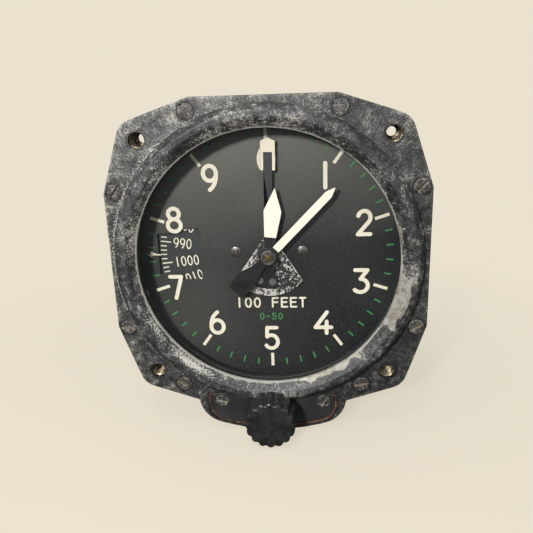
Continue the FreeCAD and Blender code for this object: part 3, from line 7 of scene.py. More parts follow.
import bpy
import numpy as np
from mathutils import Euler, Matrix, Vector
from mathutils.geometry import delaunay_2d_cdt


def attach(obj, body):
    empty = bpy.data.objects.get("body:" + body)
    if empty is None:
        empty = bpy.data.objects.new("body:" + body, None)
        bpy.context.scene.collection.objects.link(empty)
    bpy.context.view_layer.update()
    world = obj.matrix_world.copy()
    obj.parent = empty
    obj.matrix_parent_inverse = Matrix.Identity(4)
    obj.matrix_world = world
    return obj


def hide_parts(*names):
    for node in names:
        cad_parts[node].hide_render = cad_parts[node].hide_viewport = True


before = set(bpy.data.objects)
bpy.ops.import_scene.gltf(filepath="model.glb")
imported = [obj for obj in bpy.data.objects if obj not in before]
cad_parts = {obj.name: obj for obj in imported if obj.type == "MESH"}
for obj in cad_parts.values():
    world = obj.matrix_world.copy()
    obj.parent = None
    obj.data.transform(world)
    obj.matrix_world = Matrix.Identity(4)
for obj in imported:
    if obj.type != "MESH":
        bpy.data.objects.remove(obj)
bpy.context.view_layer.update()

MM = 0.001
ARC_STEP = 9.0
log = logging.getLogger("altimeter")

Point = tuple[float, float]
Corner = tuple[float, float, float]
Tree = bpy.types.NodeTree
Inputs = dict[int | str, object]


# ---------------------------------------------------------------- shapes

@dataclass
class Surface:
    """One closed skin in millimetres.

    Each point carries three shares: rubbed edge, bare patch and settled dust. On the flange
    casting the rubbed share also carries painted light and shade, and on the dial the dust share
    also carries a painted sheen. Soft tells which triangles are shaded smooth; quads always are.
    """

    points: np.ndarray
    quads: np.ndarray
    triangles: np.ndarray = field(default_factory=lambda: np.empty((0, 3), int))
    worn: np.ndarray | None = None
    soft: np.ndarray | None = None

    def __post_init__(self) -> None:
        """Fill in what is left out, and turn the faces round if they point inwards.

        The sign is that of the volume: the sum of each triangle's corner triple product.
        """
        if self.worn is None:
            self.worn = np.zeros((len(self.points), 3))
        if self.soft is None:
            self.soft = np.ones(len(self.triangles), bool)
        quads, triangles = self.quads, self.triangles
        corners = np.concatenate([quads[:, :3], quads[:, [0, 2, 3]], triangles])
        a, b, c = (self.points[corners[:, i]] for i in range(3))
        if np.einsum("ij,ij->i", a, np.cross(b, c)).sum() < 0:
            self.quads, self.triangles = quads[:, ::-1], triangles[:, ::-1]

    def ruffled(self, height: float, spacing: float, seed: int) -> "Surface":
        """Push the points in front along Y by a lattice noise.

        Args:
            height: the noise's full height.
            spacing: distance between its lattice points.
            seed: which noise.

        Returns:
            The same surface.
        """
        share = np.clip(1 - (self.points[:, 1] - self.points[:, 1].min()) / 0.8, 0, 1)
        noise = lattice_noise(self.points, spacing, seed) - 0.5
        self.points[:, 1] += noise * height * share
        return self


def joined(surfaces: list[Surface]) -> Surface:
    """Put several skins into one, with their faces renumbered.

    Args:
        surfaces: the skins, each closed.

    Returns:
        One surface that holds them all.
    """
    starts = np.cumsum([0] + [len(s.points) for s in surfaces[:-1]])
    return Surface(
        np.concatenate([s.points for s in surfaces]),
        np.concatenate([s.quads + n for s, n in zip(surfaces, starts)]),
        np.concatenate([s.triangles + n for s, n in zip(surfaces, starts)]),
        np.concatenate([s.worn for s in surfaces]),
        np.concatenate([s.soft for s in surfaces]),
    )


def grid_quads(rows: int, columns: int, wrap_rows: bool) -> np.ndarray:
    """Quads of a grid whose columns always close on themselves.

    Args:
        rows: number of points along the profile.
        columns: number of points along the path.
        wrap_rows: whether the profile closes too.

    Returns:
        Corner numbers, one row per quad.
    """
    i = np.arange(rows if wrap_rows else rows - 1)[:, None]
    j = np.arange(columns)[None, :]
    i2, j2 = (i + 1) % rows, (j + 1) % columns
    corners = [i * columns + j, i * columns + j2, i2 * columns + j2, i2 * columns + j]
    return np.stack([np.broadcast_to(c, (len(i), columns)).ravel() for c in corners], 1)


def arc(centre: Point, radii: float | Point, start: float, end: float,
        count: int = 24) -> np.ndarray:
    """Points of an ellipse's arc: centre plus the radii times the cosine and sine.

    Args:
        centre: the ellipse's centre.
        radii: its radius, or its half width and half height.
        start: first angle in degrees.
        end: last angle in degrees.
        count: number of points.

    Returns:
        An array of points, one row each.
    """
    turn = np.radians(np.linspace(start, end, count))
    return np.array(centre) + np.stack([np.cos(turn), np.sin(turn)], 1) * radii


def circle(radius: float, centre: Point = (0, 0), count: int = 96) -> np.ndarray:
    """A closed circle without its last, repeated point."""
    return arc(centre, radius, 0, 360, count + 1)[:-1]


def square_corners(side: float) -> list[Point]:
    """The four corners of a square about the dial's centre."""
    return [(a * side / 2, b * side / 2) for a in (1, -1) for b in (1, -1)]


def rounded(corners: list[Corner] | np.ndarray) -> np.ndarray:
    """A closed outline whose corners are arcs tangent to both sides.

    Each corner's arc starts radius * tan(turn / 2) before it, and its centre lies on the
    corner's bisector at radius / cos(turn / 2).

    Args:
        corners: the two coordinates and the radius of each corner, in order; a loop without
            radii comes back as it is.

    Returns:
        The outline's points.
    """
    flat = np.array([c[:2] for c in corners], float)
    if len(corners[0]) == 2:
        return flat
    pieces = []
    for i, (_, _, radius) in enumerate(corners):
        here = flat[i]
        before = flat[i - 1] - here
        after = flat[(i + 1) % len(flat)] - here
        before /= np.linalg.norm(before)
        after /= np.linalg.norm(after)
        bend = math.pi - math.acos(float(np.clip(before @ after, -1, 1)))
        if radius <= 0 or bend < 1e-3:
            pieces.append(here[None])
            continue
        middle = (before + after) / np.linalg.norm(before + after)
        centre = here + middle * radius / math.cos(bend / 2)
        first = here + before * radius * math.tan(bend / 2) - centre
        count = max(2, round(math.degrees(bend) / ARC_STEP) + 1)
        side = np.sign(first[0] * -middle[1] + first[1] * middle[0])
        turn = np.linspace(0, bend, count) * side
        cos, sin = np.cos(turn), np.sin(turn)
        pieces.append(centre + np.stack([first[0] * cos - first[1] * sin,
                                         first[0] * sin + first[1] * cos], 1))
    return np.concatenate(pieces)


def polar_grid(radius: np.ndarray, depth: np.ndarray, segments: int,
               centre: Point) -> np.ndarray:
    """Points round an axis along Y: (cx + r cos a, y, cz + r sin a) for steps of the angle a.

    Args:
        radius: a row per profile point, with one column or one per segment.
        depth: y in the same form.
        segments: steps round the axis.
        centre: x and z of the axis.

    Returns:
        Rows of profile points, columns of segments, three coordinates each.
    """
    turn = np.linspace(0, 2 * np.pi, segments, endpoint=False)
    return np.stack([centre[0] + radius * np.cos(turn), depth + 0 * turn,
                     centre[1] + radius * np.sin(turn)], -1)


def turned(profile: list[Corner] | np.ndarray, segments: int,
           centre: Point = (0, 0)) -> Surface:
    """A closed section swept round an axis along Y.

    Args:
        profile: radius and depth of each point, or of each corner with its rounding.
        segments: steps round the axis.
        centre: x and z of the axis.

    Returns:
        The closed skin.
    """
    section = rounded(profile)
    grid = polar_grid(section[:, :1], section[:, 1:], segments, centre)
    return Surface(grid.reshape(-1, 3), grid_quads(len(section), segments, True))


def offset(loop: np.ndarray, inset: float) -> np.ndarray:
    """Move a closed loop to its left, along the mean normal of its two sides.

    Args:
        loop: the loop's points.
        inset: how far it moves.

    Returns:
        The moved points.
    """
    ahead = np.roll(loop, -1, 0) - loop
    ahead /= np.maximum(np.linalg.norm(ahead, axis=1, keepdims=True), 1e-9)
    along = ahead + np.roll(ahead, 1, 0)
    along /= np.maximum(np.linalg.norm(along, axis=1, keepdims=True), 1e-9)
    stretch = 1 / np.clip(np.einsum("ij,ij->i", along, ahead), 0.5, 1)
    return loop + np.stack([-along[:, 1], along[:, 0]], 1) * inset * stretch[:, None]


def loop_area(loop: np.ndarray) -> float:
    """Signed area of a closed loop, positive when it runs anticlockwise."""
    x, z = loop.T
    return float(np.sum(x * np.roll(z, -1) - np.roll(x, -1) * z) / 2)


def dense(loop: np.ndarray, step: float) -> np.ndarray:
    """Split a closed loop's long sides.

    Args:
        loop: the loop's points.
        step: the longest side that may stay.

    Returns:
        The loop with the added points.
    """
    ends = np.roll(loop, -1, 0)
    counts = np.maximum(1, np.ceil(np.linalg.norm(ends - loop, axis=1) / step)).astype(int)
    return np.concatenate([a + (b - a) * np.linspace(0, 1, n, endpoint=False)[:, None]
                           for a, b, n in zip(loop, ends, counts)])


def inside(spots: np.ndarray, loops: list[np.ndarray]) -> np.ndarray:
    """Whether each spot lies between the loops: a ray from it crosses them an odd number of times.

    Args:
        spots: points to test, one row each.
        loops: closed loops.

    Returns:
        One truth value per spot.
    """
    odd = np.zeros(len(spots), bool)
    x, z = spots[:, :1], spots[:, 1:]
    for loop in loops:
        (ax, az), (bx, bz) = loop.T, np.roll(loop, -1, 0).T
        rise = np.where(bz == az, 1e-12, bz - az)
        crossed = ((az > z) != (bz > z)) & (x < ax + (z - az) * (bx - ax) / rise)
        odd ^= crossed.sum(1) % 2 == 1
    return odd


def filled(loops: list[np.ndarray], step: float) -> tuple[np.ndarray, np.ndarray]:
    """Triangles between an outline and its holes.

    With a step, points of a triangular lattice are strewn inside, so that the face can carry
    relief and wear; a Delaunay triangulation joins them with the loops.

    Args:
        loops: the outline and the holes.
        step: distance between the strewn points, or 0 for none.

    Returns:
        The strewn points, and triangles numbered over the loops' points and then those.
    """
    flat = np.concatenate(loops)
    extra = np.empty((0, 2))
    if step > 0:
        low, high = flat.min(0), flat.max(0)
        x, z = np.meshgrid(np.arange(low[0], high[0], step),
                           np.arange(low[1], high[1], step * 0.866))
        x = x + (np.arange(len(x)) % 2)[:, None] * step / 2
        extra = np.stack([x.ravel(), z.ravel()], 1)
        near = np.full(len(extra), np.inf)
        for block in np.array_split(flat, max(1, len(flat) // 60)):
            gaps = extra[:, None] - block[None]
            near = np.minimum(near, np.einsum("ijk,ijk->ij", gaps, gaps).min(1))
        extra = extra[near > (0.55 * step) ** 2]
    edges, start = [], 0
    for loop in loops:
        edges += [(start + i, start + (i + 1) % len(loop)) for i in range(len(loop))]
        start += len(loop)
    spots = np.concatenate([flat, extra])
    _, _, faces, origins, _, _ = delaunay_2d_cdt([Vector(p) for p in spots], edges, [], 1, 1e-7)
    number = np.array([sources[0] if sources else -1 for sources in origins])
    triangles = number[np.array([f for f in faces if len(f) == 3], int)]
    triangles = triangles[inside(spots[triangles].mean(1), loops)]
    used = np.unique(triangles[triangles >= len(flat)])
    table = np.arange(len(spots))
    table[used] = len(flat) + np.arange(len(used))
    return extra[used - len(flat)], table[triangles]


def plate(outline: list[Corner] | np.ndarray, holes: list[np.ndarray], front: float,
          back: float, edge: float = 0.0, hole_edge: float = 0.0, step: float = 0.0,
          hole_rub_and_shade: float = 0.0) -> Surface:
    """A plate with rounded edges round its outline and holes.

    The rim is a quarter round, the wall, and a quarter round again, carried along every
    loop; the faces between the loops are filled with triangles.

    Args:
        outline: the outer loop in x and z, or its corners with their rounding.
        holes: inner loops.
        front: y of the front face.
        back: y of the back face.
        edge: radius of the outline's rounded edges.
        hole_edge: radius of the holes' rounded edges.
        step: distance between the front face's inner points, or 0 for none.
        hole_rub_and_shade: how rubbed the holes' edges are, against 1 for the outline's; below zero
            it paints shade on them.

    Returns:
        The closed skin.
    """
    quarter = np.radians(np.linspace(0, 90, 5)) if edge > 0 else np.radians([90.0])
    outer = rounded(outline)
    loops = [outer if loop_area(outer) > 0 else outer[::-1]]
    loops += [h if loop_area(h) < 0 else h[::-1] for h in holes]
    if step:
        loops = [dense(loop, step) for loop in loops]
    points, quads, worn, fronts, backs, start = [], [], [], [], [], 0
    for loop, size in zip(loops, [edge] + [hole_edge] * len(holes)):
        inset, depth = size * (1 - np.sin(quarter)), size * (1 - np.cos(quarter))
        rim = [(a, front + b) for a, b in zip(inset, depth)]
        rim += [(a, back - b) for a, b in zip(inset[::-1], depth[::-1])]
        rings = [offset(loop, a) for a, _ in rim]
        points += [np.insert(ring, 1, y, axis=1) for ring, (_, y) in zip(rings, rim)]
        quads.append(grid_quads(len(rim), len(loop), False) + start)
        fronts.append((rings[0], start))
        backs.append((rings[-1], start + (len(rim) - 1) * len(loop)))
        start += len(rim) * len(loop)
        # Below zero, the holes' share paints shade on their edges.
        rub_and_shade = hole_rub_and_shade if worn else 1.0
        worn.append(np.tile((rub_and_shade, 0.0, 0.0), (len(rim) * len(loop), 1)))
    triangles, soft = [], []
    for side, flip, gap, y in ((fronts, 1, step, front), (backs, -1, 0, back)):
        numbers = np.concatenate([np.arange(len(ring)) + first for ring, first in side])
        extra, corners = filled([ring for ring, _ in side], gap)
        numbers = np.concatenate([numbers, start + np.arange(len(extra))])
        start += len(extra)
        points.append(np.insert(extra, 1, y, axis=1))
        worn.append(np.zeros((len(extra), 3)))
        flat = np.concatenate([ring for ring, _ in side] + [extra])
        a, b, c = (flat[corners[:, i]] for i in range(3))
        spin = (b - a)[:, 0] * (c - a)[:, 1] - (b - a)[:, 1] * (c - a)[:, 0]
        corners[spin < 0] = corners[spin < 0][:, ::-1]
        triangles.append(numbers[corners[:, ::flip]])
        soft.append(np.full(len(corners), gap > 0))
    return Surface(*(np.concatenate(part) for part in (points, quads, triangles, worn, soft)))


def lattice_noise(points: np.ndarray, spacing: float, seed: int) -> np.ndarray:
    """Smooth noise: hashed random numbers on a cubic lattice, blended by t*t*(3-2t).

    Args:
        points: where to read it, one row each.
        spacing: distance between the lattice's points.
        seed: which noise.

    Returns:
        A value from 0 to 1 per point.
    """
    place = points / spacing
    cell = np.floor(place).astype(np.int64)
    t = place - cell
    t = t * t * (3 - 2 * t)
    total = np.zeros(len(points))
    for corner in itertools.product((0, 1), repeat=3):
        x, y, z = (cell + corner).T
        key = (x * 73856093) ^ (y * 19349663) ^ (z * 83492791) ^ (seed * 26544357)
        key = ((key ^ (key >> 13)) * 1274126177) & 0x7FFFFFFF
        weight = np.prod(np.where(corner, t, 1 - t), axis=1)
        total += weight * (((key ^ (key >> 16)) & 0xFFFF) / 0xFFFF)
    return total


def make_piece(name: str, skins: Surface | list[Surface], body: str, finish: "Finish",
               replaces: tuple[str, ...] = (), crease: float = 34.0) -> None:
    """Turn one or more skins into an object that rides on a CAD body.

    Args:
        name: the piece's name.
        skins: its skin or skins.
        body: the CAD body that it moves with.
        finish: its finish.
        replaces: CAD nodes that it stands for.
        crease: angle in degrees above which an edge is shaded sharp.
    """
    surface = joined(skins) if isinstance(skins, list) else skins
    quads, triangles = surface.quads, surface.triangles
    mesh = bpy.data.meshes.new(name)
    mesh.vertices.add(len(surface.points))
    mesh.vertices.foreach_set("co", (surface.points * MM).astype(np.float32).ravel())
    mesh.loops.add(quads.size + triangles.size)
    mesh.loops.foreach_set("vertex_index", np.concatenate([quads.ravel(), triangles.ravel()]))
    starts = np.concatenate([np.arange(len(quads)) * 4,
                             quads.size + np.arange(len(triangles)) * 3])
    mesh.polygons.add(len(starts))
    mesh.polygons.foreach_set("loop_start", starts)
    mesh.update(calc_edges=True)
    mesh.validate()
    smooth = np.concatenate([np.ones(len(quads), bool), surface.soft])
    mesh.polygons.foreach_set("use_smooth", smooth)
    worn = mesh.attributes.new("worn", "FLOAT_VECTOR", "POINT")
    worn.data.foreach_set("vector", surface.worn.astype(np.float32).ravel())
    mesh.set_sharp_from_angle(angle=math.radians(crease))
    piece = bpy.data.objects.new(name, mesh)
    bpy.context.scene.collection.objects.link(piece)
    mesh.materials.append(finish.material())
    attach(piece, body)
    if replaces:
        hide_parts(*replaces)
    log.info("%s: %d faces, %s", name, len(mesh.polygons), finish.name)


def dress(nodes: tuple[str, ...], finish: "Finish") -> None:
    """Give CAD nodes, whose shapes stay as they are, a finish.

    Args:
        nodes: the nodes' names.
        finish: their finish.
    """
    for node in nodes:
        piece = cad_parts[node]
        piece.data.materials.clear()
        piece.data.materials.append(finish.material())
        log.info("%s: %s", node, finish.name)


# ---------------------------------------------------------------- finishes

def linear(code: str) -> tuple[float, float, float, float]:
    """An sRGB hex colour as linear light: c/12.92, or ((c + 0.055) / 1.055) ** 2.4."""
    values = [int(code[i:i + 2], 16) / 255 for i in (1, 3, 5)]
    light = [v / 12.92 if v <= 0.04045 else ((v + 0.055) / 1.055) ** 2.4 for v in values]
    return (*light, 1.0)


def per(size_mm: float) -> float:
    """The noise scale on object coordinates in metres that gives features of this size."""
    return 1 / (size_mm * MM)


def set_inputs(tree: Tree, node: bpy.types.Node, inputs: Inputs) -> None:
    """Set or link a node's inputs.

    Args:
        tree: the node tree.
        node: the node.
        inputs: socket name or number to a constant, a hex colour, an output, or a node,
            which stands for its first output.
    """
    for key, value in inputs.items():
        if isinstance(value, bpy.types.Node):
            value = value.outputs[0]
        if isinstance(value, bpy.types.NodeSocket):
            tree.links.new(value, node.inputs[key])
        else:
            node.inputs[key].default_value = linear(value) if isinstance(value, str) else value


def add_node(tree: Tree, kind: str, inputs: Inputs | None = None,
             stops: list[tuple[float, str]] | None = None, **settings) -> bpy.types.Node:
    """Add one shader node with its settings, constants and links.

    Args:
        tree: the node tree.
        kind: Blender's name for the node's type, less its ShaderNode.
        inputs: what its inputs are set to or fed by.
        stops: a colour ramp's positions and hex colours.
        settings: properties of the node.

    Returns:
        The new node.
    """
    node = tree.nodes.new("ShaderNode" + kind)
    for key, value in settings.items():
        setattr(node, key, value)
    set_inputs(tree, node, inputs or {})
    if stops:
        elements = node.color_ramp.elements
        while len(elements) < len(stops):
            elements.new(0.5)
        for element, (place, code) in zip(elements, stops):
            element.position = place
            element.color = linear(code)
    return node


def worn_shares(tree: Tree) -> bpy.types.bpy_prop_collection:
    """The attribute's three outputs: rubbed edge, bare patch, settled dust. The rubbed edge also
    holds painted light and shade on the flange casting, and the settled dust holds a painted sheen
    on the dial.
    """
    worn = add_node(tree, "Attribute", attribute_name="worn")
    return add_node(tree, "SeparateXYZ", {0: worn.outputs["Vector"]}).outputs


@dataclass(frozen=True)
class Finish:
    """A named finish: its slot in the record and how its material is made."""

    name: str
    slot: str

    def material(self) -> bpy.types.Material:
        """The finish's material, made when it is first asked for.

        Returns:
            The material. A pattern's height goes through a bump of the finish's relief.
        """
        known = bpy.data.materials.get(self.name)
        if known:
            return known
        made = bpy.data.materials.new(self.name)
        made.use_nodes = True
        tree = made.node_tree
        inputs = self.pattern(tree, add_node(tree, "TexCoord").outputs["Object"])
        if "Height" in inputs:
            strength, depth_mm = self.relief
            inputs["Normal"] = add_node(tree, "Bump", {
                "Strength": strength, "Distance": depth_mm * MM, "Height": inputs.pop("Height")})
        set_inputs(tree, tree.nodes["Principled BSDF"], inputs)
        return made

    def pattern(self, tree: Tree, coords: bpy.types.NodeSocket) -> Inputs:
        """Wire the finish's pattern, and say what the shader's inputs are fed by."""
        raise NotImplementedError


@dataclass(frozen=True)
class WornCastPaint(Finish):
    """Old black enamel on a sand-cast alloy part.

    Handling has left it mottled: dark where paint is thick, pale specks where the casting's
    grain shows, bright along rubbed edges, and smooth warm-grey metal in bare patches.
    """

    dark: str = "#1d1d1f"
    middle: str = "#363635"
    pale: str = "#5c5b57"
    bright: str = "#a09d94"
    bare: str = "#857f71"
    bare_dark: str = "#66635a"
    chalk: str = "#c9c7bd"
    patch_mm: float = 6.0
    mottle_mm: float = 1.7
    speck_mm: float = 0.42
    rub: float = 0.3
    roughness: float = 0.46
    bare_metallic: float = 0.25
    paint_span: Point = (0.95, 1.9)
    bare_span: Point = (0.72, 0.78)
    chalk_span: Point = (0.68, 0.84)
    chalk_most: float = 0.85
    relief: Point = (0.8, 0.12)

    def pattern(self, tree: Tree, coords: bpy.types.NodeSocket) -> Inputs:
        """Noises of three sizes make the mottle; bare metal and chalky dust lie over it."""
        rub_and_shade_share, bare_share, chalk_share = list(worn_shares(tree))
        patch, mottle, speck = (
            add_node(tree, "TexNoise", {"Vector": coords, "Scale": per(size),
                                        "Detail": detail, "Roughness": rough})
            for size, detail, rough in ((self.patch_mm, 2.0, 0.5), (self.mottle_mm, 4.0, 0.6),
                                        (self.speck_mm, 3.0, 0.6)))
        broad, border, chalky = (
            add_node(tree, "Math", {0: a, 1: factor, 2: b}, operation="MULTIPLY_ADD")
            for a, factor, b in ((patch, 0.8, mottle), (mottle, 0.5, bare_share),
                                 (chalk_share, 0.34, speck)))
        fine = add_node(tree, "Math", {0: speck, 1: 1.1, 2: broad}, operation="MULTIPLY_ADD")
        # The rubbed share also carries painted light and shade where a part sets it, as the flange
        # casting does.
        rub_and_shade = add_node(tree, "Math", {0: rub_and_shade_share, 1: self.rub, 2: fine},
                          operation="MULTIPLY_ADD")
        level, bare = (
            add_node(tree, "MapRange", {"Value": value, "From Min": low, "From Max": high})
            for value, (low, high) in ((rub_and_shade, self.paint_span), (border, self.bare_span)))
        painted = add_node(tree, "ValToRGB", {0: level}, [
            (0.2, self.dark), (0.48, self.middle), (0.66, self.pale), (0.86, self.bright)])
        metal = add_node(tree, "ValToRGB", {0: broad}, [
            (0.6, self.bare_dark), (0.8, self.bare), (1.3, self.bright)])
        mixed = add_node(tree, "Mix", {0: bare, 6: painted, 7: metal}, data_type="RGBA")
        low, high = self.chalk_span
        chalk = add_node(tree, "MapRange", {"Value": chalky, "From Min": low,
                                            "From Max": high, "To Max": self.chalk_most})
        dusted = add_node(tree, "Mix", {0: chalk, 6: mixed.outputs[2], 7: self.chalk},
                          data_type="RGBA")
        shine = add_node(tree, "MapRange", {"Value": bare, "To Max": self.bare_metallic})
        rough = add_node(tree, "MapRange", {
            "Value": mottle, "From Min": 0.3, "From Max": 0.75,
            "To Min": self.roughness - 0.1, "To Max": self.roughness + 0.14})
        height = add_node(tree, "Math", {0: bare, 1: -0.25, 2: fine}, operation="MULTIPLY_ADD")
        return {"Base Color": dusted.outputs[2], "Metallic": shine, "Roughness": rough,
                "Height": height}


@dataclass(frozen=True)
class Enamel(Finish):
    """Sprayed paint: even colour, a faint orange peel, and dust in specks."""

    colour: str = "#1f2022"
    cloud: str = "#2c2d2f"
    cloud_mm: float = 9.0
    dust: str = "#8d897c"
    dust_amount: float = 0.35
    dust_from: float = 0.66
    dust_width: float = 0.12
    dust_mm: float = 0.5
    film: float = 0.22
    peel_mm: float = 0.9
    roughness: float = 0.45
    metallic: float = 0.0
    relief: Point = (0.25, 0.02)

    def pattern(self, tree: Tree, coords: bpy.types.NodeSocket) -> Inputs:
        """A slow cloud blends two tones; specks and the settled layer of dust lie on them, and on
        the dial that layer also paints a sheen.
        """
        cloud, fine, peel = (
            add_node(tree, "TexNoise", {"Vector": coords, "Scale": per(size),
                                        "Detail": detail, "Roughness": rough})
            for size, detail, rough in ((self.cloud_mm, 4.0, 0.5), (self.dust_mm, 5.0, 0.75),
                                        (self.peel_mm, 2.0, 0.5)))
        tone = add_node(tree, "ValToRGB", {0: cloud}, [(0.35, self.colour), (0.7, self.cloud)])
        specks = add_node(tree, "MapRange", {
            "Value": fine, "From Min": self.dust_from,
            "From Max": self.dust_from + self.dust_width, "To Max": self.dust_amount})
        # The settled layer of dust; on the dial it also paints a sheen, lighter towards the top
        # left.
        film = add_node(tree, "Math", {0: worn_shares(tree)[2], 1: self.film, 2: specks},
                        operation="MULTIPLY_ADD")
        mixed = add_node(tree, "Mix", {0: film, 6: tone, 7: self.dust}, data_type="RGBA")
        rough = add_node(tree, "MapRange", {
            "Value": cloud, "From Min": 0.3, "From Max": 0.7,
            "To Min": self.roughness - 0.06, "To Max": self.roughness + 0.1})
        return {"Base Color": mixed.outputs[2], "Metallic": self.metallic, "Roughness": rough,
                "Height": peel}


@dataclass(frozen=True)
class MachinedMetal(Finish):
    """Turned or milled metal: fine tool marks, a slight tarnish in clouds."""

    colour: str = "#b09a5e"
    tarnish: str = "#7d6a3a"
    cloud_mm: float = 3.0
    mark_mm: float = 0.25
    roughness: float = 0.34
    relief: Point = (0.3, 0.01)

    def pattern(self, tree: Tree, coords: bpy.types.NodeSocket) -> Inputs:
        """Tarnish follows a cloud noise; the tool marks are a noise drawn out along Y."""
        cloud = add_node(tree, "TexNoise", {"Vector": coords, "Scale": per(self.cloud_mm),
                                            "Detail": 5.0})
        tone = add_node(tree, "ValToRGB", {0: cloud}, [(0.38, self.colour),
                                                       (0.68, self.tarnish)])
        rough = add_node(tree, "MapRange", {
            "Value": cloud, "From Min": 0.3, "From Max": 0.7,
            "To Min": self.roughness - 0.08, "To Max": self.roughness + 0.16})
        drawn = add_node(tree, "Mapping", {"Vector": coords, "Scale": (1, 0.15, 1)})
        marks = add_node(tree, "TexNoise", {"Vector": drawn, "Scale": per(self.mark_mm),
                                            "Detail": 3.0})
        return {"Base Color": tone, "Metallic": 1.0, "Roughness": rough, "Height": marks}


@dataclass(frozen=True)
class PrintedPaint(Finish):
    """Brushed-on marking paint: slightly uneven, with small chips that show the dial."""

    colour: str = "#e6dfc6"
    under: str = "#5b584d"
    grain_mm: float = 0.35
    chips: float = 0.7
    roughness: float = 0.6
    relief: Point = (0.3, 0.02)

    def pattern(self, tree: Tree, coords: bpy.types.NodeSocket) -> Inputs:
        """The top of a fine noise lets the tone beneath show through."""
        grain = add_node(tree, "TexNoise", {"Vector": coords, "Scale": per(self.grain_mm),
                                            "Detail": 5.0, "Roughness": 0.7})
        tone = add_node(tree, "ValToRGB", {0: grain}, [
            (0.0, self.colour), (self.chips - 0.08, self.colour),
            (self.chips + 0.06, self.under)])
        return {"Base Color": tone, "Roughness": self.roughness, "Height": grain}


@dataclass(frozen=True)
class WornHatching(Finish):
    """White diagonal hatching on black, of which flaking has left scattered flecks."""

    black: str = "#1d1e1e"
    white: str = "#cfccc2"
    stripe_mm: float = 2.1
    lean: float = 40.0
    fleck_mm: float = 0.75
    band_share: float = 0.12
    rub_share: float = 0.05
    black_to: float = 0.56
    white_from: float = 0.6
    roughness: float = 0.55
    relief: Point = (0.4, 0.03)

    def pattern(self, tree: Tree, coords: bpy.types.NodeSocket) -> Inputs:
        """Leaning bands are thinned by a rough noise; a wave's period is 20 of its units."""
        leaning = add_node(tree, "Mapping", {"Vector": coords,
                                             "Rotation": (0, math.radians(self.lean), 0)})
        bands = add_node(tree, "TexWave", {
            "Vector": leaning, "Scale": per(self.stripe_mm) / 20, "Distortion": 1.5,
            "Detail": 3.0, "Detail Scale": 3.0}, bands_direction="X")
        flecks = add_node(tree, "TexNoise", {"Vector": coords, "Scale": per(self.fleck_mm),
                                             "Detail": 6.0, "Roughness": 0.72})
        banded = add_node(tree, "Math", {0: bands.outputs["Fac"], 1: self.band_share,
                                         2: flecks}, operation="MULTIPLY_ADD")
        total = add_node(tree, "Math", {0: worn_shares(tree)[0], 1: self.rub_share,
                                        2: banded}, operation="MULTIPLY_ADD")
        cut = add_node(tree, "ValToRGB", {0: total}, [
            (0.0, self.black), (self.black_to, self.black), (self.white_from, self.white)])
        return {"Base Color": cut, "Roughness": self.roughness, "Height": total}


@dataclass(frozen=True)
class MouldedPhenolic(Finish):
    """Black moulded phenolic: a gloss on the flutes, dust where fingers don't reach."""

    colour: str = "#1e1e1e"
    bloom: str = "#323231"
    bloom_mm: float = 1.8
    dust: str = "#8c8463"
    dust_from: float = 0.9
    dust_to: float = 1.5
    dust_most: float = 0.5
    roughness: float = 0.16
    dusty_roughness: float = 0.8
    relief: Point = (0.25, 0.03)

    def pattern(self, tree: Tree, coords: bpy.types.NodeSocket) -> Inputs:
        """The settled dust's share is broken up by a noise."""
        cloud = add_node(tree, "TexNoise", {"Vector": coords, "Scale": per(self.bloom_mm),
                                            "Detail": 6.0, "Roughness": 0.62})
        tone = add_node(tree, "ValToRGB", {0: cloud}, [(0.35, self.colour), (0.72, self.bloom)])
        amount = add_node(tree, "Math", {0: cloud, 1: 0.6, 2: worn_shares(tree)[2]},
                          operation="MULTIPLY_ADD")
        settled = add_node(tree, "MapRange", {
            "Value": amount, "From Min": self.dust_from, "From Max": self.dust_to,
            "To Max": self.dust_most})
        mixed = add_node(tree, "Mix", {0: settled, 6: tone, 7: self.dust}, data_type="RGBA")
        rough = add_node(tree, "MapRange", {"Value": amount, "From Min": 0.4, "From Max": 1.0,
                                            "To Min": self.roughness,
                                            "To Max": self.dusty_roughness})
        return {"Base Color": mixed.outputs[2], "Roughness": rough, "Height": cloud}


@dataclass(frozen=True)
class FlatGlass(Finish):
    """Clear soda-lime glass seen straight on, with a little dust on it."""

    tint: str = "#70757a"
    dust_mm: float = 0.6
    dust_from: float = 0.62
    dust_to: float = 0.75
    clear: float = 0.02
    dusty: float = 0.14
    roughness: float = 0.08
    ior: float = 1.52

    def pattern(self, tree: Tree, coords: bpy.types.NodeSocket) -> Inputs:
        """Alpha is nearly nothing, and rises where a fine noise peaks."""
        dust = add_node(tree, "TexNoise", {"Vector": coords, "Scale": per(self.dust_mm),
                                           "Detail": 6.0, "Roughness": 0.8})
        alpha = add_node(tree, "MapRange", {
            "Value": dust, "From Min": self.dust_from, "From Max": self.dust_to,
            "To Min": self.clear, "To Max": self.dusty})
        return {"Base Color": self.tint, "Roughness": self.roughness, "IOR": self.ior,
                "Alpha": alpha}


# Cast and handled: mottled black-grey, with the alloy's grain and brass showing through.
# The flange casting also gets painted light and shade through its rubbed share: darker towards the
# lower right and at the holes' edges, paler towards the upper left.
CASTING = WornCastPaint("worn_black_enamel_with_painted_shade_on_casting", "flange_paint", rub=0.1)
BEZEL_PAINT = WornCastPaint("worn_black_enamel_on_bezel", "bezel_paint", dark="#19191b",
                            middle="#2f2f30", pale="#545350", rub=0.7, mottle_mm=1.4)
SCREW_PAINT = WornCastPaint("painted_screw_steel", "screw_black", dark="#242322",
                            middle="#3a3835", pale="#524f4a", bare="#a0805f",
                            bare_dark="#6d5340", patch_mm=2.5, mottle_mm=0.8)
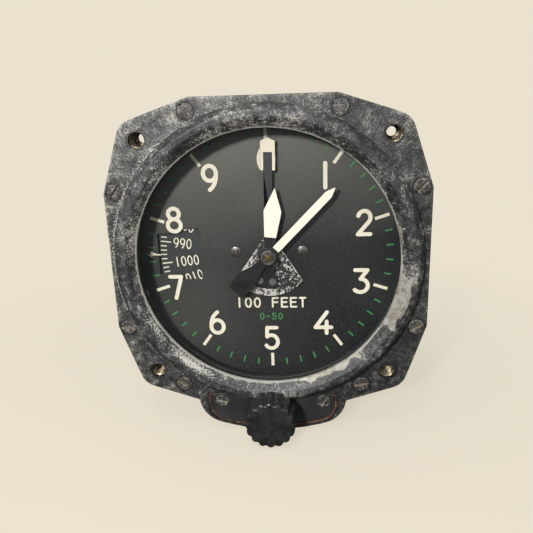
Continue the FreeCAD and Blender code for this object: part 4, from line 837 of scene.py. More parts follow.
# Sprayed, moulded or perished: even dark tones with a layer of dust, which on the dial also paints
# a sheen.
CASE_PAINT = Enamel("black_crackle_enamel", "case_paint", colour="#232325", cloud="#343436",
                    peel_mm=0.8, roughness=0.5)
COVER_PAINT = Enamel("smooth_slate_enamel", "cover_paint", colour="#282829", cloud="#343434",
                     roughness=0.42, dust_amount=0.2)
RUBBER = Enamel("aged_black_rubber", "gasket_rubber", colour="#151515", cloud="#232322",
                roughness=0.75, dust_amount=0.4)
SEALANT = Enamel("perished_orange_sealant", "sealing_cord", colour="#1f1d1c", cloud="#7d523a",
                 cloud_mm=3.4, dust="#b98a62", dust_amount=0.3, roughness=0.7)
# On the dial its layer of dust also paints a sheen, lighter towards the top left and at the lower
# left.
DIAL_BLACK = Enamel("matt_dial_black_with_painted_sheen", "dial_black", colour="#121314", cloud="#171818",
                    cloud_mm=14.0, dust="#b7b4a6", dust_amount=0.2, dust_from=0.57,
                    dust_mm=0.3, film=0.3, roughness=0.45)
SCALE_BLACK = Enamel("matt_scale_black", "scale_black", colour="#2f3030", cloud="#343535",
                     dust="#aaa79a", dust_amount=0.4, dust_mm=0.34, roughness=0.5)
HAND_BLACK = Enamel("satin_hand_black", "hand_black", colour="#0f0f10", cloud="#171718",
                    cloud_mm=3.0, roughness=0.4, dust_amount=0.3, dust_mm=0.3)
HAND_GREY = Enamel("dark_hand_grey", "hand_grey", colour="#2b2c2e", cloud="#333436",
                   roughness=0.5, dust_mm=0.3)
DOT_GREY = Enamel("faded_grey_dots", "hand_cream", colour="#4d4f50", cloud="#5a5c5c",
                  cloud_mm=1.0, roughness=0.6)
RETAINER = Enamel("black_anodised_aluminium", "dark_aluminium", colour="#1d1e1e",
                  cloud="#34362f", roughness=0.38, metallic=0.4)
PHENOLIC = MouldedPhenolic("black_moulded_phenolic", "knob_black")
GLASS = FlatGlass("flat_window_glass", "window_glass")
# Printed or brushed on: matt, chipped where the noise peaks.
CREAM = PrintedPaint("cream_marking_paint", "dial_black", colour="#ece5cd")
GREEN = PrintedPaint("green_marking_paint", "dial_black", colour="#3d8a4a", under="#2b4a32",
                     chips=0.62)
SCALE_CREAM = PrintedPaint("cream_scale_paint", "scale_black", colour="#e8e1c8")
HAND_CREAM = PrintedPaint("cream_hand_paint", "hand_cream", colour="#f6f0dc", chips=0.8)
FORK_CREAM = PrintedPaint("cream_marker_paint", "hand_grey", colour="#efe6cd",
                          under="#9a7a58", chips=0.66)
HATCHING = WornHatching("worn_hatching", "flag_hatched")
# Turned, cut or pressed: bare metal, tarnished least where it was polished.
PLATE_BRASS = MachinedMetal("satin_plate_brass", "plate_brass")
WHEEL_BRASS = MachinedMetal("cut_wheel_brass", "wheel_brass", colour="#b8a064")
PILLAR_BRASS = MachinedMetal("turned_pillar_brass", "pillar_brass", colour="#a8925a")
STAFF_BRASS = MachinedMetal("polished_staff_brass", "staff_brass", colour="#b09c48",
                            tarnish="#6c5d27", cloud_mm=0.9, roughness=0.3)
INSERT_BRASS = MachinedMetal("oxidised_insert_brass", "insert_brass", colour="#9c9079",
                             tarnish="#3a332a", cloud_mm=1.0, roughness=0.4)
NIPPLE_BRASS = MachinedMetal("turned_nipple_brass", "nipple_brass", colour="#a8935c")
ARBOR_STEEL = MachinedMetal("polished_arbor_steel", "arbor_steel", colour="#a9a9a8",
                            tarnish="#7f7f7e", roughness=0.26)
SCREW_STEEL = MachinedMetal("turned_screw_steel", "screw_steel", colour="#9c9c9a",
                            tarnish="#6f6e6a")
DIAL_SCREW = MachinedMetal("worn_dial_screw_steel", "dial_screw_steel", colour="#8f8a84",
                           tarnish="#3a3532", cloud_mm=0.8, roughness=0.4)
CAPSULE = MachinedMetal("corrugated_nickel_silver", "capsule_nickel", colour="#b5b4ac",
                        tarnish="#8d8b80", roughness=0.3)


# ---------------------------------------------------------------- lettering

# Each sign's strokes in a unit square; a stroke that ends where it starts is a ring.
GLYPHS = {
    "0": [arc((0.5, 0.5), 0.5, 0, 360, 33)],
    "1": [[(0.5, 0.0), (0.5, 1.0)]],
    "2": [[*arc((0.5, 0.72), (0.5, 0.28), 165, -38, 20), (0.0, 0.0)], [(0.0, 0.0), (1.0, 0.0)]],
    "3": [[(0.0, 1.0), (0.95, 1.0)], [(0.95, 1.0), (0.42, 0.6)],
          arc((0.42, 0.3), (0.58, 0.3), 90, -140, 24)],
    "4": [[(0.72, 1.0), (0.0, 0.28)], [(0.0, 0.28), (1.0, 0.28)], [(0.7, 0.56), (0.7, 0.0)]],
    "5": [[(0.1, 1.0), (0.92, 1.0)], [(0.1, 1.0), (0.06, 0.56)],
          arc((0.44, 0.32), (0.56, 0.32), 132, -145, 24)],
    "6": [arc((0.5, 0.31), (0.5, 0.31), 0, 360, 29), arc((0.98, 0.36), (0.97, 0.72), 117, 176, 12)],
    "7": [[(0.0, 1.0), (1.0, 1.0)], [(1.0, 1.0), (0.42, 0.0)]],
    "8": [arc((0.5, 0.77), (0.42, 0.23), 0, 360, 29), arc((0.5, 0.27), (0.5, 0.27), 0, 360, 29)],
    "9": [arc((0.5, 0.69), (0.5, 0.31), 0, 360, 29), arc((0.02, 0.64), (0.97, 0.72), -4, -63, 12)],
    "F": [[(0.0, 0.0), (0.0, 1.0)], [(0.0, 1.0), (1.0, 1.0)], [(0.0, 0.52), (0.85, 0.52)]],
    "E": [[(0.0, 0.0), (0.0, 1.0)], [(0.0, 1.0), (1.0, 1.0)], [(0.0, 0.52), (0.85, 0.52)],
          [(0.0, 0.0), (1.0, 0.0)]],
    "T": [[(0.5, 0.0), (0.5, 1.0)], [(0.0, 1.0), (1.0, 1.0)]],
    "-": [[(0.1, 0.5), (0.9, 0.5)]],
}


def stroke(path: np.ndarray, width: float, front: float, thick: float) -> Surface:
    """A pen stroke: the path moved half a width to each side, with round ends.

    Args:
        path: the stroke's middle line.
        width: the pen's width.
        front: y of the paint's face.
        thick: the paint's thickness.

    Returns:
        The closed skin of the stroke.
    """
    if np.allclose(path[0], path[-1]):
        sides = [offset(path[:-1], move) for move in (-width / 2, width / 2)]
        narrow, wide = sorted(sides, key=lambda loop: abs(loop_area(loop)))
        return plate(wide, [narrow], front, front + thick)
    ahead = np.gradient(path, axis=0)
    ahead /= np.linalg.norm(ahead, axis=1, keepdims=True)
    side = np.stack([-ahead[:, 1], ahead[:, 0]], 1) * width / 2
    first, last = (math.degrees(math.atan2(a[1], a[0])) for a in (ahead[0], ahead[-1]))
    far = arc(path[-1], width / 2, last + 90, last - 90, 9)[1:-1]
    near = arc(path[0], width / 2, first - 90, first - 270, 9)[1:-1]
    outline = np.concatenate([path + side, far, (path - side)[::-1], near])
    return plate(outline, [], front, front + thick)


@dataclass(frozen=True)
class Lettering:
    """Numerals drawn with one pen: their size, pen width and where the paint lies."""

    height: float
    width: float
    pen: float
    gap: float
    front: float
    thick: float
    lift: float = 0.004

    def sign(self, char: str, x: float, z: float, turn: float = 0.0) -> list[Surface]:
        """One sign centred at x, z and turned anticlockwise about the dial's centre.

        Args:
            char: the sign.
            x: its middle before the turn.
            z: its middle before the turn.
            turn: degrees about the dial's centre.

        Returns:
            One skin per stroke, each lying a little above the one before.
        """
        cos, sin = math.cos(math.radians(turn)), math.sin(math.radians(turn))
        spin = np.array([[cos, sin], [-sin, cos]])
        reach = np.array([self.width - self.pen, self.height - self.pen])
        return [stroke(((np.array(path) - 0.5) * reach + (x, z)) @ spin, self.pen,
                       self.front - self.lift * i, self.thick + self.lift * i)
                for i, path in enumerate(GLYPHS[char])]

    def word(self, text: str, x: float, z: float, turn: float = 0.0) -> list[Surface]:
        """A row of signs whose middle is at x, z; a space is one sign wide."""
        step = self.width + self.gap
        first = x - step * (len(text) - 1) / 2
        return [skin for i, char in enumerate(text) if char != " "
                for skin in self.sign(char, first + i * step, z, turn)]


def tick(angle: float, inner: float, outer: float, width: float, front: float,
         thick: float) -> Surface:
    """A radial bar.

    Args:
        angle: the clock angle of its middle line in degrees.
        inner: the radius where it starts.
        outer: the radius where it ends.
        width: its width.
        front: y of the paint's face.
        thick: the paint's thickness.

    Returns:
        The closed skin.
    """
    turn = math.radians(90 - angle)
    along = np.array([math.cos(turn), math.sin(turn)])
    side = np.array([-along[1], along[0]]) * width / 2
    corners = np.array([along * inner - side, along * outer - side,
                        along * outer + side, along * inner + side])
    return plate(corners, [], front, front + thick)


def turned_loop(loop: list[Corner] | np.ndarray, clockwise: float) -> np.ndarray:
    """A loop, or its rounded corners, turned clockwise about the dial's centre in degrees."""
    cos, sin = math.cos(math.radians(clockwise)), math.sin(math.radians(clockwise))
    return rounded(loop) @ np.array([[cos, -sin], [sin, cos]])


def mirrored(right: list[Corner]) -> list[Corner]:
    """Corners of the right half, top to bottom, closed by their mirror image."""
    return right + [(-x, z, r) for x, z, r in reversed(right) if x != 0]


# ---------------------------------------------------------------- sub-assemblies

@dataclass
class SlottedScrew:
    """A screw whose head is a polar height field with its slot and dome."""

    head: float
    rise: float
    slot_half: float
    slot_depth: float
    head_y: float
    rim_y: float
    tail_y: float
    shank: float = 1.2
    segments: int = 120
    edge_from: float = 0.93
    edge_drop: float = 0.1
    wall: float = 0.08
    burr: float = 0.13
    rub: float = 0.8
    rub_from: float = 0.95
    bare: float = 0.62

    def skin(self, x: float, z: float, slot_turn: float) -> Surface:
        """One screw at x, z.

        The face is a dome, less the slot's depth where the distance to the slot's line is
        under half its width; the walls follow t*t*(3-2t), and the burr beside them is bright.

        Args:
            x: where its axis is.
            z: where its axis is.
            slot_turn: the slot's angle in degrees.

        Returns:
            The closed skin.
        """
        shares = np.concatenate([np.linspace(0.02, self.edge_from, 32), [0.965, 0.99, 1.0]])
        shares = shares[:, None]
        flat = polar_grid(self.head * shares, 0 * shares, self.segments, (0, 0))
        lean = math.radians(slot_turn)
        across = np.abs(flat[..., 0] * math.sin(lean) - flat[..., 2] * math.cos(lean))
        walls = np.clip((self.slot_half + self.wall / 2 - across) / self.wall, 0, 1)
        walls = walls * walls * (3 - 2 * walls)
        outmost = np.clip((shares - self.edge_from) / (1 - self.edge_from), 0, 1)
        y = self.head_y - self.rise * (1 - shares ** 2) + self.edge_drop * outmost ** 2
        flat[..., 1] = np.minimum(y + self.slot_depth * walls, self.rim_y - 0.02)
        tail = np.array([(self.head, self.rim_y), (self.shank, self.rim_y),
                         (self.shank, self.tail_y)])
        grid = np.concatenate([flat + (x, 0, z),
                               polar_grid(tail[:, :1], tail[:, 1:], self.segments, (x, z))])
        fan = np.arange(1, self.segments - 1)
        fan = np.stack([np.zeros_like(fan), fan + 1, fan], 1)
        caps = np.concatenate([fan, fan[:, ::-1] + (len(grid) - 1) * self.segments])
        worn = np.zeros((grid.shape[0] * self.segments, 3))
        burr = np.exp(-((across - self.slot_half) / self.burr) ** 2)
        edge = shares > self.rub_from
        worn[:across.size, 0] = self.rub * (burr + edge).clip(0, 1).ravel()
        worn[:across.size, 1] = self.bare * burr.ravel()
        return Surface(grid.reshape(-1, 3), grid_quads(len(grid), self.segments, False), caps,
                       worn)


@dataclass
class Flange:
    """Cast flange with its knob lobe, brass inserts and eight slotted screws.

    Hole shade is the rub of the holes' edges. It is below zero so that they darken, a painted shade
    of the gaps round screws, inserts, ring and cover. Painted shade, with its span and lift, makes
    the casting paler towards its upper left and darker towards its lower right, a painted light
    and shade. Ruffle is the casting's waviness: height, spacing and seed. Screws are x, z and
    the slot's angle.
    """

    half: float = 41.3
    flat: float = 18.3
    corner: float = 35.54
    corner_radius: float = 5.2
    small_radius: float = 1.6
    lobe_reach: float = 49.8
    lobe_radius: float = 8.0
    lobe_x: float = 12.43
    lobe_start: float = -14.0
    thick: float = 4.0
    bore: float = 37.25
    edge: float = 0.28
    hole_edge: float = 0.03
    grain: float = 0.7
    pitch: float = 62.86
    hole: float = 2.05
    grime: float = -2.5
    shading: float = 1.7
    shading_span: float = 87.0
    shading_lift: float = 0.2
    chalk_radius: float = 40.2
    chalk_spread: float = 0.8
    chalk_share: float = 0.3
    chalk_span: float = 90.0
    ruffle: tuple[float, float, int] = (0.12, 1.4, 11)
    insert: float = 3.3
    skin: float = 1.0
    thread_step: float = 0.16
    thread_depth: float = 0.22
    nut_back: float = 6.9
    nut_bore: float = 1.2
    nut_wall: float = 2.6
    recess: float = 1.2
    head: float = 2.0
    head_gap: float = 0.12
    screws: tuple[Corner, ...] = (
        (18.65, 38.05, -27), (-18.65, 38.05, -52), (38.6, 18.6, 48), (-38.6, 18.6, 57),
        (38.6, -18.6, 30), (-38.6, -18.6, -8), (24.5, -35.5, 12), (-24.5, -35.5, -30))

    def outline(self) -> np.ndarray:
        """The square with cut corners, run into the lobe's arcs at the bottom.

        Returns:
            The closed loop. The lobe's end arc is taken from where the slanted side meets it
            to its touching point with the long arc about the dial's centre.
        """
        reach = self.lobe_reach - self.lobe_radius
        end_z = -math.sqrt(reach ** 2 - self.lobe_x ** 2)
        touch = math.degrees(math.atan2(end_z, self.lobe_x))
        square = [(self.flat, self.half, self.small_radius),
                  (self.corner, self.corner, self.corner_radius),
                  (self.half, self.flat, self.small_radius),
                  (self.half, -self.flat, self.small_radius),
                  (self.corner, -self.corner, self.corner_radius)]
        slant = (self.half - self.corner) / (self.corner - self.flat)
        side = self.lobe_x + self.lobe_radius
        notch = (side, -self.half + (side - self.flat) * slant, 0.5)
        end = arc((self.lobe_x, end_z), self.lobe_radius, self.lobe_start, touch, 14)
        base = arc((0, 0), self.lobe_reach, touch, -90, 14)[1:]
        right = square + [notch] + [(x, z, 0.0) for x, z in np.concatenate([end, base])]
        right[-1] = (0, right[-1][1], 0.0)
        return rounded(mirrored(right))

    def nut(self, centre: Point) -> Surface:
        """A threaded insert: its bore is a row of grooves, closing a little at the back.

        Args:
            centre: x and z of its axis.

        Returns:
            The closed skin.
        """
        depth = np.arange(self.skin + 0.1, self.nut_back - 0.9, self.thread_step)
        grooves = [(self.hole - self.thread_depth * (i % 4 in (1, 2)), y)
                   for i, y in enumerate(depth)]
        section = [(self.insert, self.thick), (self.insert, self.skin + 0.05), *grooves,
                   (self.nut_bore, self.nut_back - 0.7), (self.nut_bore, self.nut_back),
                   (self.nut_wall, self.nut_back), (self.nut_wall, self.thick)]
        return turned(section, 48, centre)

    def build(self) -> None:
        """Make the casting with its recess, the inserts and the screws.

        The flange is paler towards its upper left and darker towards its lower right, a painted
        light and shade; the holes' edges are darker too, a painted shade of the gaps round them.
        """
        corners = square_corners(self.pitch)
        cover = LobeCover()
        holes = [circle(self.hole, c, 32) for c in corners]
        holes += [circle(self.head + self.head_gap, s[:2], 36) for s in self.screws]
        holes += [circle(self.bore, count=180), cover.outline(cover.strip + 0.03, 0.08)]
        # The holes' edges take a negative rub: a painted shade of the gaps round screws, inserts,
        # ring and cover.
        casting = plate(self.outline(), holes, 0, self.thick, self.edge, self.hole_edge,
                        self.grain, self.grime)
        casting.ruffled(*self.ruffle)
        x, _, z = casting.points.T
        beside_ring = np.exp(-((np.hypot(x, z) - self.chalk_radius) / self.chalk_spread) ** 2)
        # Painted light and shade: paler towards the upper left, darker towards the lower right.
        shade_towards_lower_right = np.clip((x - z) / self.shading_span + self.shading_lift, -0.5, 1)
        casting.worn[:, 0] -= self.shading * shade_towards_lower_right
        casting.worn[:, 2] = beside_ring * np.clip(
            self.chalk_share - x / self.chalk_span, 0, 1)
        floor = plate(cover.outline(1.0), [circle(cover.bush, (0, cover.spindle_z), 40)],
                      self.recess + 0.01, self.thick - 0.2)
        make_piece("flange_casting", [casting, floor], "case", CASTING, ("mounting_flange",))
        make_piece("brass_inserts", [self.nut(c) for c in corners], "case", INSERT_BRASS,
                   ("panel_inserts",))
        screw = SlottedScrew(head=self.head, rise=0.12, slot_half=0.25, slot_depth=0.8,
                             head_y=0.04, rim_y=1.2, tail_y=7.0)
        make_piece("flange_screw_heads", [screw.skin(*s) for s in self.screws], "case",
                   SCREW_PAINT, ("flange_screws",), crease=50)


@dataclass
class Bezel:
    """Bezel ring with its sloping lip, and the gasket and ring that hold the glass.

    Sections are radius, y and rounding, noises are spacing and seed. Bare patches are first
    and last angle, near and far radius; chalky places are an angle, its spread and the amount.
    """

    segments: int = 420
    lip: float = 33.8
    section: tuple[Corner, ...] = (
        (33.8, -1.7, 0.22), (36.3, -3.4, 1.6), (38.2, -3.4, 1.1), (39.7, -1.7, 1.3),
        (39.7, 0.0, 0.05), (37.2, 0.0, 0.0), (37.2, 3.2, 0.1), (35.7, 3.2, 0.1),
        (35.7, -0.9, 0.0), (33.8, -0.9, 0.12))
    section_step: float = 0.22
    gasket: tuple[Corner, ...] = (
        (34.4, 1.1, 0.1), (35.6, 1.1, 0), (35.6, 1.7, 0), (34.4, 1.7, 0.1))
    keeper: tuple[Corner, ...] = (
        (34.3, 1.7, 0.2), (35.7, 1.7, 0), (35.7, 3.2, 0), (34.3, 3.2, 0.2))
    rough_mm: float = 0.035
    rough_noise: tuple[float, int] = (1.1, 3)
    dent_mm: float = 0.09
    dent_noise: tuple[float, int] = (2.3, 8)
    dent_from: float = 0.72
    ragged_mm: float = 2.6
    ragged_noise: tuple[float, int] = (2.2, 21)
    slant: float = -0.35
    fade_mm: float = 1.6
    lip_spread: float = 0.3
    band_radius: float = 35.2
    band_spread: float = 1.2
    bare_patches: tuple[tuple[float, float, float, float], ...] = (
        (-31, -4, 33.0, 38.4), (-64, -46, 33.0, 35.6), (-80, -62, 33.0, 35.4),
        (8, 16, 33.0, 34.8))
    chalky: tuple[Corner, ...] = (
        (-127, 14, 1.1), (-150, 14, 0.7), (168, 16, 0.55), (140, 12, 0.6), (112, 9, 0.7),
        (84, 9, 0.5), (60, 8, 0.35), (-92, 14, 0.25), (-70, 8, 0.2))

    def profile(self) -> np.ndarray:
        """Lip, sloping face, round shoulder, side, spigot and seat, with long sides split.

        Returns:
            Radius and depth of each point.
        """
        coarse = rounded(self.section)
        ends = np.roll(coarse, -1, 0)
        sides = np.linalg.norm(ends - coarse, axis=1)
        return np.concatenate([
            a + (b - a) * np.linspace(0, 1, max(1, int(n / self.section_step)),
                                      endpoint=False)[:, None]
            for a, b, n in zip(coarse, ends, sides)])

    def build(self) -> None:
        """Make the ring with its dents and wear, then the gasket and the retaining ring."""
        skin = turned(self.profile(), self.segments)
        x, y, z = skin.points.T
        radius, angle = np.hypot(x, z), np.degrees(np.arctan2(z, x))
        front = np.clip(-y, 0, 1)
        out = (lattice_noise(skin.points, *self.rough_noise) - 0.5) * self.rough_mm
        dents = lattice_noise(skin.points, *self.dent_noise) - self.dent_from
        out -= self.dent_mm * np.clip(dents, 0, 1) / (1 - self.dent_from)
        skin.points[:, 1] -= out * front
        patches = np.zeros(len(radius))
        coarse = lattice_noise(skin.points, *self.ragged_noise)
        for start, end, near, far in self.bare_patches:
            drift = (coarse - 0.5) * self.ragged_mm + (radius - near) * self.slant
            along = np.minimum(angle - start, end - angle) * np.radians(1) * radius + drift
            depth = np.minimum(along, np.minimum(radius - near, far - radius + drift))
            patches = np.maximum(patches, np.clip(0.5 + depth / self.fade_mm, 0, 1))
        lip = np.exp(-((radius - self.lip) / self.lip_spread) ** 2)
        band = np.exp(-((radius - self.band_radius) / self.band_spread) ** 2)
        chalk = np.zeros(len(radius))
        for centre, spread, amount in self.chalky:
            away = (angle - centre + 180) % 360 - 180
            chalk = np.maximum(chalk, amount * band * np.exp(-(away / spread) ** 2))
        skin.worn[:] = (front * np.stack([lip, patches, chalk])).T
        make_piece("bezel_casting", skin, "case", BEZEL_PAINT, ("bezel_ring",), crease=50)
        make_piece("glass_gasket_ring", turned(self.gasket, 200), "case", RUBBER,
                   ("glass_gasket",))
        make_piece("glass_keeper_ring", turned(self.keeper, 200), "case", RETAINER,
                   ("glass_retaining_ring",))
        dress(("window_glass",), GLASS)


@dataclass
class LobeCover:
    """Cover plate of the lobe, the perished strip round it and its two screws.

    The strip's rises are how far its outer and inner tops lie above the cover's.
    """

    reach: float = 48.5
    end_radius: float = 5.2
    end_x: float = 12.1
    top: float = 38.6
    front: float = 0.2
    thick: float = 1.0
    gap: float = 0.02
    edge: float = 0.12
    hole_edge: float = 0.03
    grain: float = 0.9
    strip: float = 0.55
    strip_inner: float = 0.1
    strip_rises: Point = (-0.2, -0.6)
    strip_sunk: float = 0.05
    strip_edge: float = 0.1
    strip_hole_edge: float = 0.05
    strip_grain: float = 0.4
    strip_ruffle: tuple[float, float, int] = (0.2, 0.8, 4)
    head: float = 1.8
    head_gap: float = 0.03
    screw_z: float = -40.9
    screws: tuple[Point, ...] = ((-14.2, -14), (14.2, 62))
    bush: float = 2.8
    spindle_z: float = -42.6

    def outline(self, grow: float, rise: float | None = None) -> np.ndarray:
        """Straight top, two end arcs and the long arc, all moved outwards by grow.

        Args:
            grow: how far the arcs move out.
            rise: how far the top moves up, where that isn't the same.

        Returns:
            The closed loop.
        """
        rise = grow if rise is None else rise
        away = self.reach - self.end_radius
        end_z = -math.sqrt(away ** 2 - self.end_x ** 2)
        touch = math.degrees(math.atan2(end_z, self.end_x))
        end = arc((self.end_x, end_z), self.end_radius + grow, 0, touch, 14)
        base = arc((0, 0), self.reach + grow, touch, -90, 14)[1:]
        top = [(self.end_x + self.end_radius + grow, -self.top + rise)]
        right = np.concatenate([top, end, base])
        return np.concatenate([right, right[-2::-1] * (-1, 1)])

    def build(self) -> None:
        """Make the plate, the strip and the screws."""
        back = self.front + self.thick
        holes = [circle(self.bush, (0, self.spindle_z), 40)]
        holes += [circle(self.head + self.head_gap, (x, self.screw_z), 32)
                  for x, _ in self.screws]
        cover = plate(self.outline(-self.gap), holes, self.front, back, self.edge,
                      self.hole_edge, self.grain)
        make_piece("lobe_cover_plate", cover, "case", COVER_PAINT, ("lobe_cover",))
        outer_rise, inner_rise = self.strip_rises
        strip = plate(self.outline(self.strip, outer_rise),
                      [self.outline(self.strip_inner, inner_rise)],
                      self.front + self.strip_sunk, back - self.strip_sunk,
                      self.strip_edge, self.strip_hole_edge, self.strip_grain)
        make_piece("lobe_sealing_strip", strip.ruffled(*self.strip_ruffle), "case", SEALANT,
                   ("cover_seal",))
        screw = SlottedScrew(head=self.head, rise=0.08, slot_half=0.24, slot_depth=0.35,
                             head_y=0.15, rim_y=0.9, tail_y=2.6)
        make_piece("lobe_cover_screws",
                   [screw.skin(x, self.screw_z, turn) for x, turn in self.screws], "case",
                   SCREW_PAINT, ("cover_screws",), crease=50)


@dataclass
class SettingKnob:
    """Fluted phenolic knob on its spindle.

    The shoulder is how far each point of the rear edge lies inside the radius and in front
    of the back.
    """

    radius: float = 7.2
    flute: float = 0.7
    count: int = 16
    back: float = -4.0
    front: float = -10.0
    shoulder: tuple[Point, ...] = ((1.5, 0.0), (0.4, 0.08), (0.0, 0.5))
    nose: float = 0.8
    taper: float = 0.45
    bore: float = 2.0
    bore_front: float = -8.5
    centre_z: float = -42.6
    segments: int = 512
    bush: tuple[Corner, ...] = (
        (2.05, -2.2, 0.05), (2.8, -2.2, 0.2), (2.8, 8.4, 0.1), (2.05, 8.4, 0.05))

    def build(self) -> None:
        """Make the knob: its radius is a scallop wave in the angle, faded at the chamfer.

        The wave is R - flute * (0.5 - 0.5 cos(count * angle)) ** 1.5, which leaves round
        crests between narrow hollows. The section closes at the spindle's bore.
        """
        section = [(self.bore, self.back)]
        section += [(self.radius - a, self.back - b) for a, b in self.shoulder]
        depth = np.linspace(self.back - 0.8, self.front + self.nose + 0.1, 14)
        taper = self.taper * (self.back - depth) / (self.back - self.front)
        section += list(zip(self.radius - taper, depth))
        section += [(self.radius - self.taper - self.nose * (1 - math.cos(a)),
                     self.front + self.nose * (1 - math.sin(a)))
                    for a in np.radians(np.linspace(15, 90, 8))]
        section += [(self.radius * s, self.front + 0.03 * s) for s in (0.7, 0.5, 0.3, 0.0)]
        section += [(0.0, self.bore_front), (self.bore, self.bore_front)]
        turn = np.linspace(0, 2 * np.pi, self.segments, endpoint=False)
        wave = (0.5 - 0.5 * np.cos(self.count * turn)) ** 1.5
        r, y = np.array(section)[:, :1], np.array(section)[:, 1:]
        share = np.clip((r / self.radius - 0.7) / 0.3, 0, 1)
        grid = polar_grid(r - self.flute * share * wave, y, self.segments, (0, self.centre_z))
        rear = np.clip((y - (self.back - 1.5)) / 1.2, 0, 1) * (r > 4)
        dust = rear * (0.35 + 0.65 * wave) * share + 0.22 * (y < self.front + 0.1)
        skin = Surface(grid.reshape(-1, 3), grid_quads(len(section), self.segments, True))
        skin.worn[:, 2] = dust.ravel()
        make_piece("fluted_knob", skin, "setting", PHENOLIC, ("setting_knob",), crease=60)
        make_piece("turned_bush", turned(self.bush, 64, (0, self.centre_z)), "case",
                   PILLAR_BRASS, ("spindle_bush",))
        dress(("setting_spindle",), ARBOR_STEEL)
        dress(("spindle_collar",), SCREW_STEEL)


@dataclass
class Dial:
    """Dial plate with its window, printed numerals, ticks and two screws.

    Numerals are the sign, its place and its width. A pen is the signs' height, width, stroke
    and gap. The dust and sheen spans are the distances upwards and leftwards over which a layer
    of dust with a painted reflection grows by one share. The painted sheen spot is x, z and the
    square of its spread, a painted sheen at the lower left.
    """

    radius: float = 36.8
    front: float = 7.0
    back: float = 7.8
    hole: float = 3.2
    ink: float = 0.05
    major: Corner = (29.4, 33.3, 0.85)
    minor: Corner = (31.2, 33.1, 0.42)
    datum: Corner = (29.6, 33.2, 0.35)
    arrow: tuple[Point, ...] = ((-32.6, 1.1), (-32.6, -0.7), (-30.9, 0.2))
    window_radius: float = 0.3
    window: tuple[Point, ...] = (
        (-30.3, 5.9), (-30.3, -5.6), (-24.4, -5.6), (-24.4, -7.3), (-18.6, -7.3),
        (-18.6, 7.3), (-24.4, 7.3), (-24.4, 5.9))
    numerals: tuple[tuple[str, float, float, float], ...] = (
        ("0", 0.1, 25.2, 5.0), ("1", 15.1, 20.7, 5.0), ("2", 25.2, 8.1, 4.3),
        ("3", 24.7, -8.1, 4.5), ("4", 14.4, -20.2, 5.5), ("5", 0.0, -24.8, 4.3),
        ("6", -15.3, -20.1, 4.6), ("7", -26.1, -9.5, 4.2), ("8", -25.3, 9.6, 4.6),
        ("9", -14.9, 20.7, 4.5))
    numeral_height: float = 7.35
    numeral_pen: float = 1.08
    feet_z: float = -14.1
    feet_pen: tuple[float, ...] = (3.1, 2.0, 0.5, 0.5)
    range_z: float = -18.2
    range_pen: tuple[float, ...] = (2.0, 1.25, 0.3, 0.45)
    grain: float = 1.6
    dust_spans: Point = (40.0, 300.0)
    dust_spot: Corner = (-22.0, -16.0, 260.0)
    dust_spot_share: float = 0.25
    screws: tuple[Corner, ...] = ((-9.0, 0.6, -35), (9.0, 0.6, 80))

    def build(self) -> None:
        """Make the plate with its layer of dust and painted sheen, the markings and the screws."""
        holes = [rounded([(x, z, self.window_radius) for x, z in self.window]),
                 circle(self.hole, count=48)]
        disc = plate(circle(self.radius, count=200), holes, self.front, self.back, 0.08, 0.03,
                     self.grain)
        x, _, z = disc.points.T
        up, across = self.dust_spans
        spot_x, spot_z, spread = self.dust_spot
        painted_sheen = np.exp(-((x - spot_x) ** 2 + (z - spot_z) ** 2) / spread)
        # A layer of dust with a painted reflection, lighter towards the top and left, and a painted
        # sheen spot at the lower left.
        disc.worn[:, 2] = np.clip(z / up - x / across, 0, 1) + self.dust_spot_share * painted_sheen
        make_piece("dial_plate", disc, "case", DIAL_BLACK, ("dial",))
        ink = (self.front - self.ink, self.ink)
        signs = []
        for char, x, z, width in self.numerals:
            pen = Lettering(self.numeral_height, width, self.numeral_pen, 0.0, *ink)
            signs += pen.sign(char, x, z)
        signs += [tick(36 * i, *self.major, *ink) for i in range(10)]
        signs += Lettering(*self.feet_pen, *ink).word("100 FEET", 0, self.feet_z)
        signs += [tick(270, *self.datum, *ink),
                  plate(self.arrow, [], ink[0] - 0.004, self.front)]
        make_piece("cream_dial_markings", signs, "case", CREAM)
        minor = [tick(7.2 * i, *self.minor, *ink) for i in range(50) if i % 5]
        minor += Lettering(*self.range_pen, *ink).word("0-50", 0, self.range_z)
        make_piece("green_dial_markings", minor, "case", GREEN)
        screw = SlottedScrew(head=1.5, rise=0.2, slot_half=0.2, slot_depth=0.3, head_y=6.7,
                             rim_y=7.0, tail_y=9.0, shank=0.8)
        make_piece("dial_screw_heads", [screw.skin(*s) for s in self.screws], "case",
                   DIAL_SCREW, ("dial_screws",), crease=50)


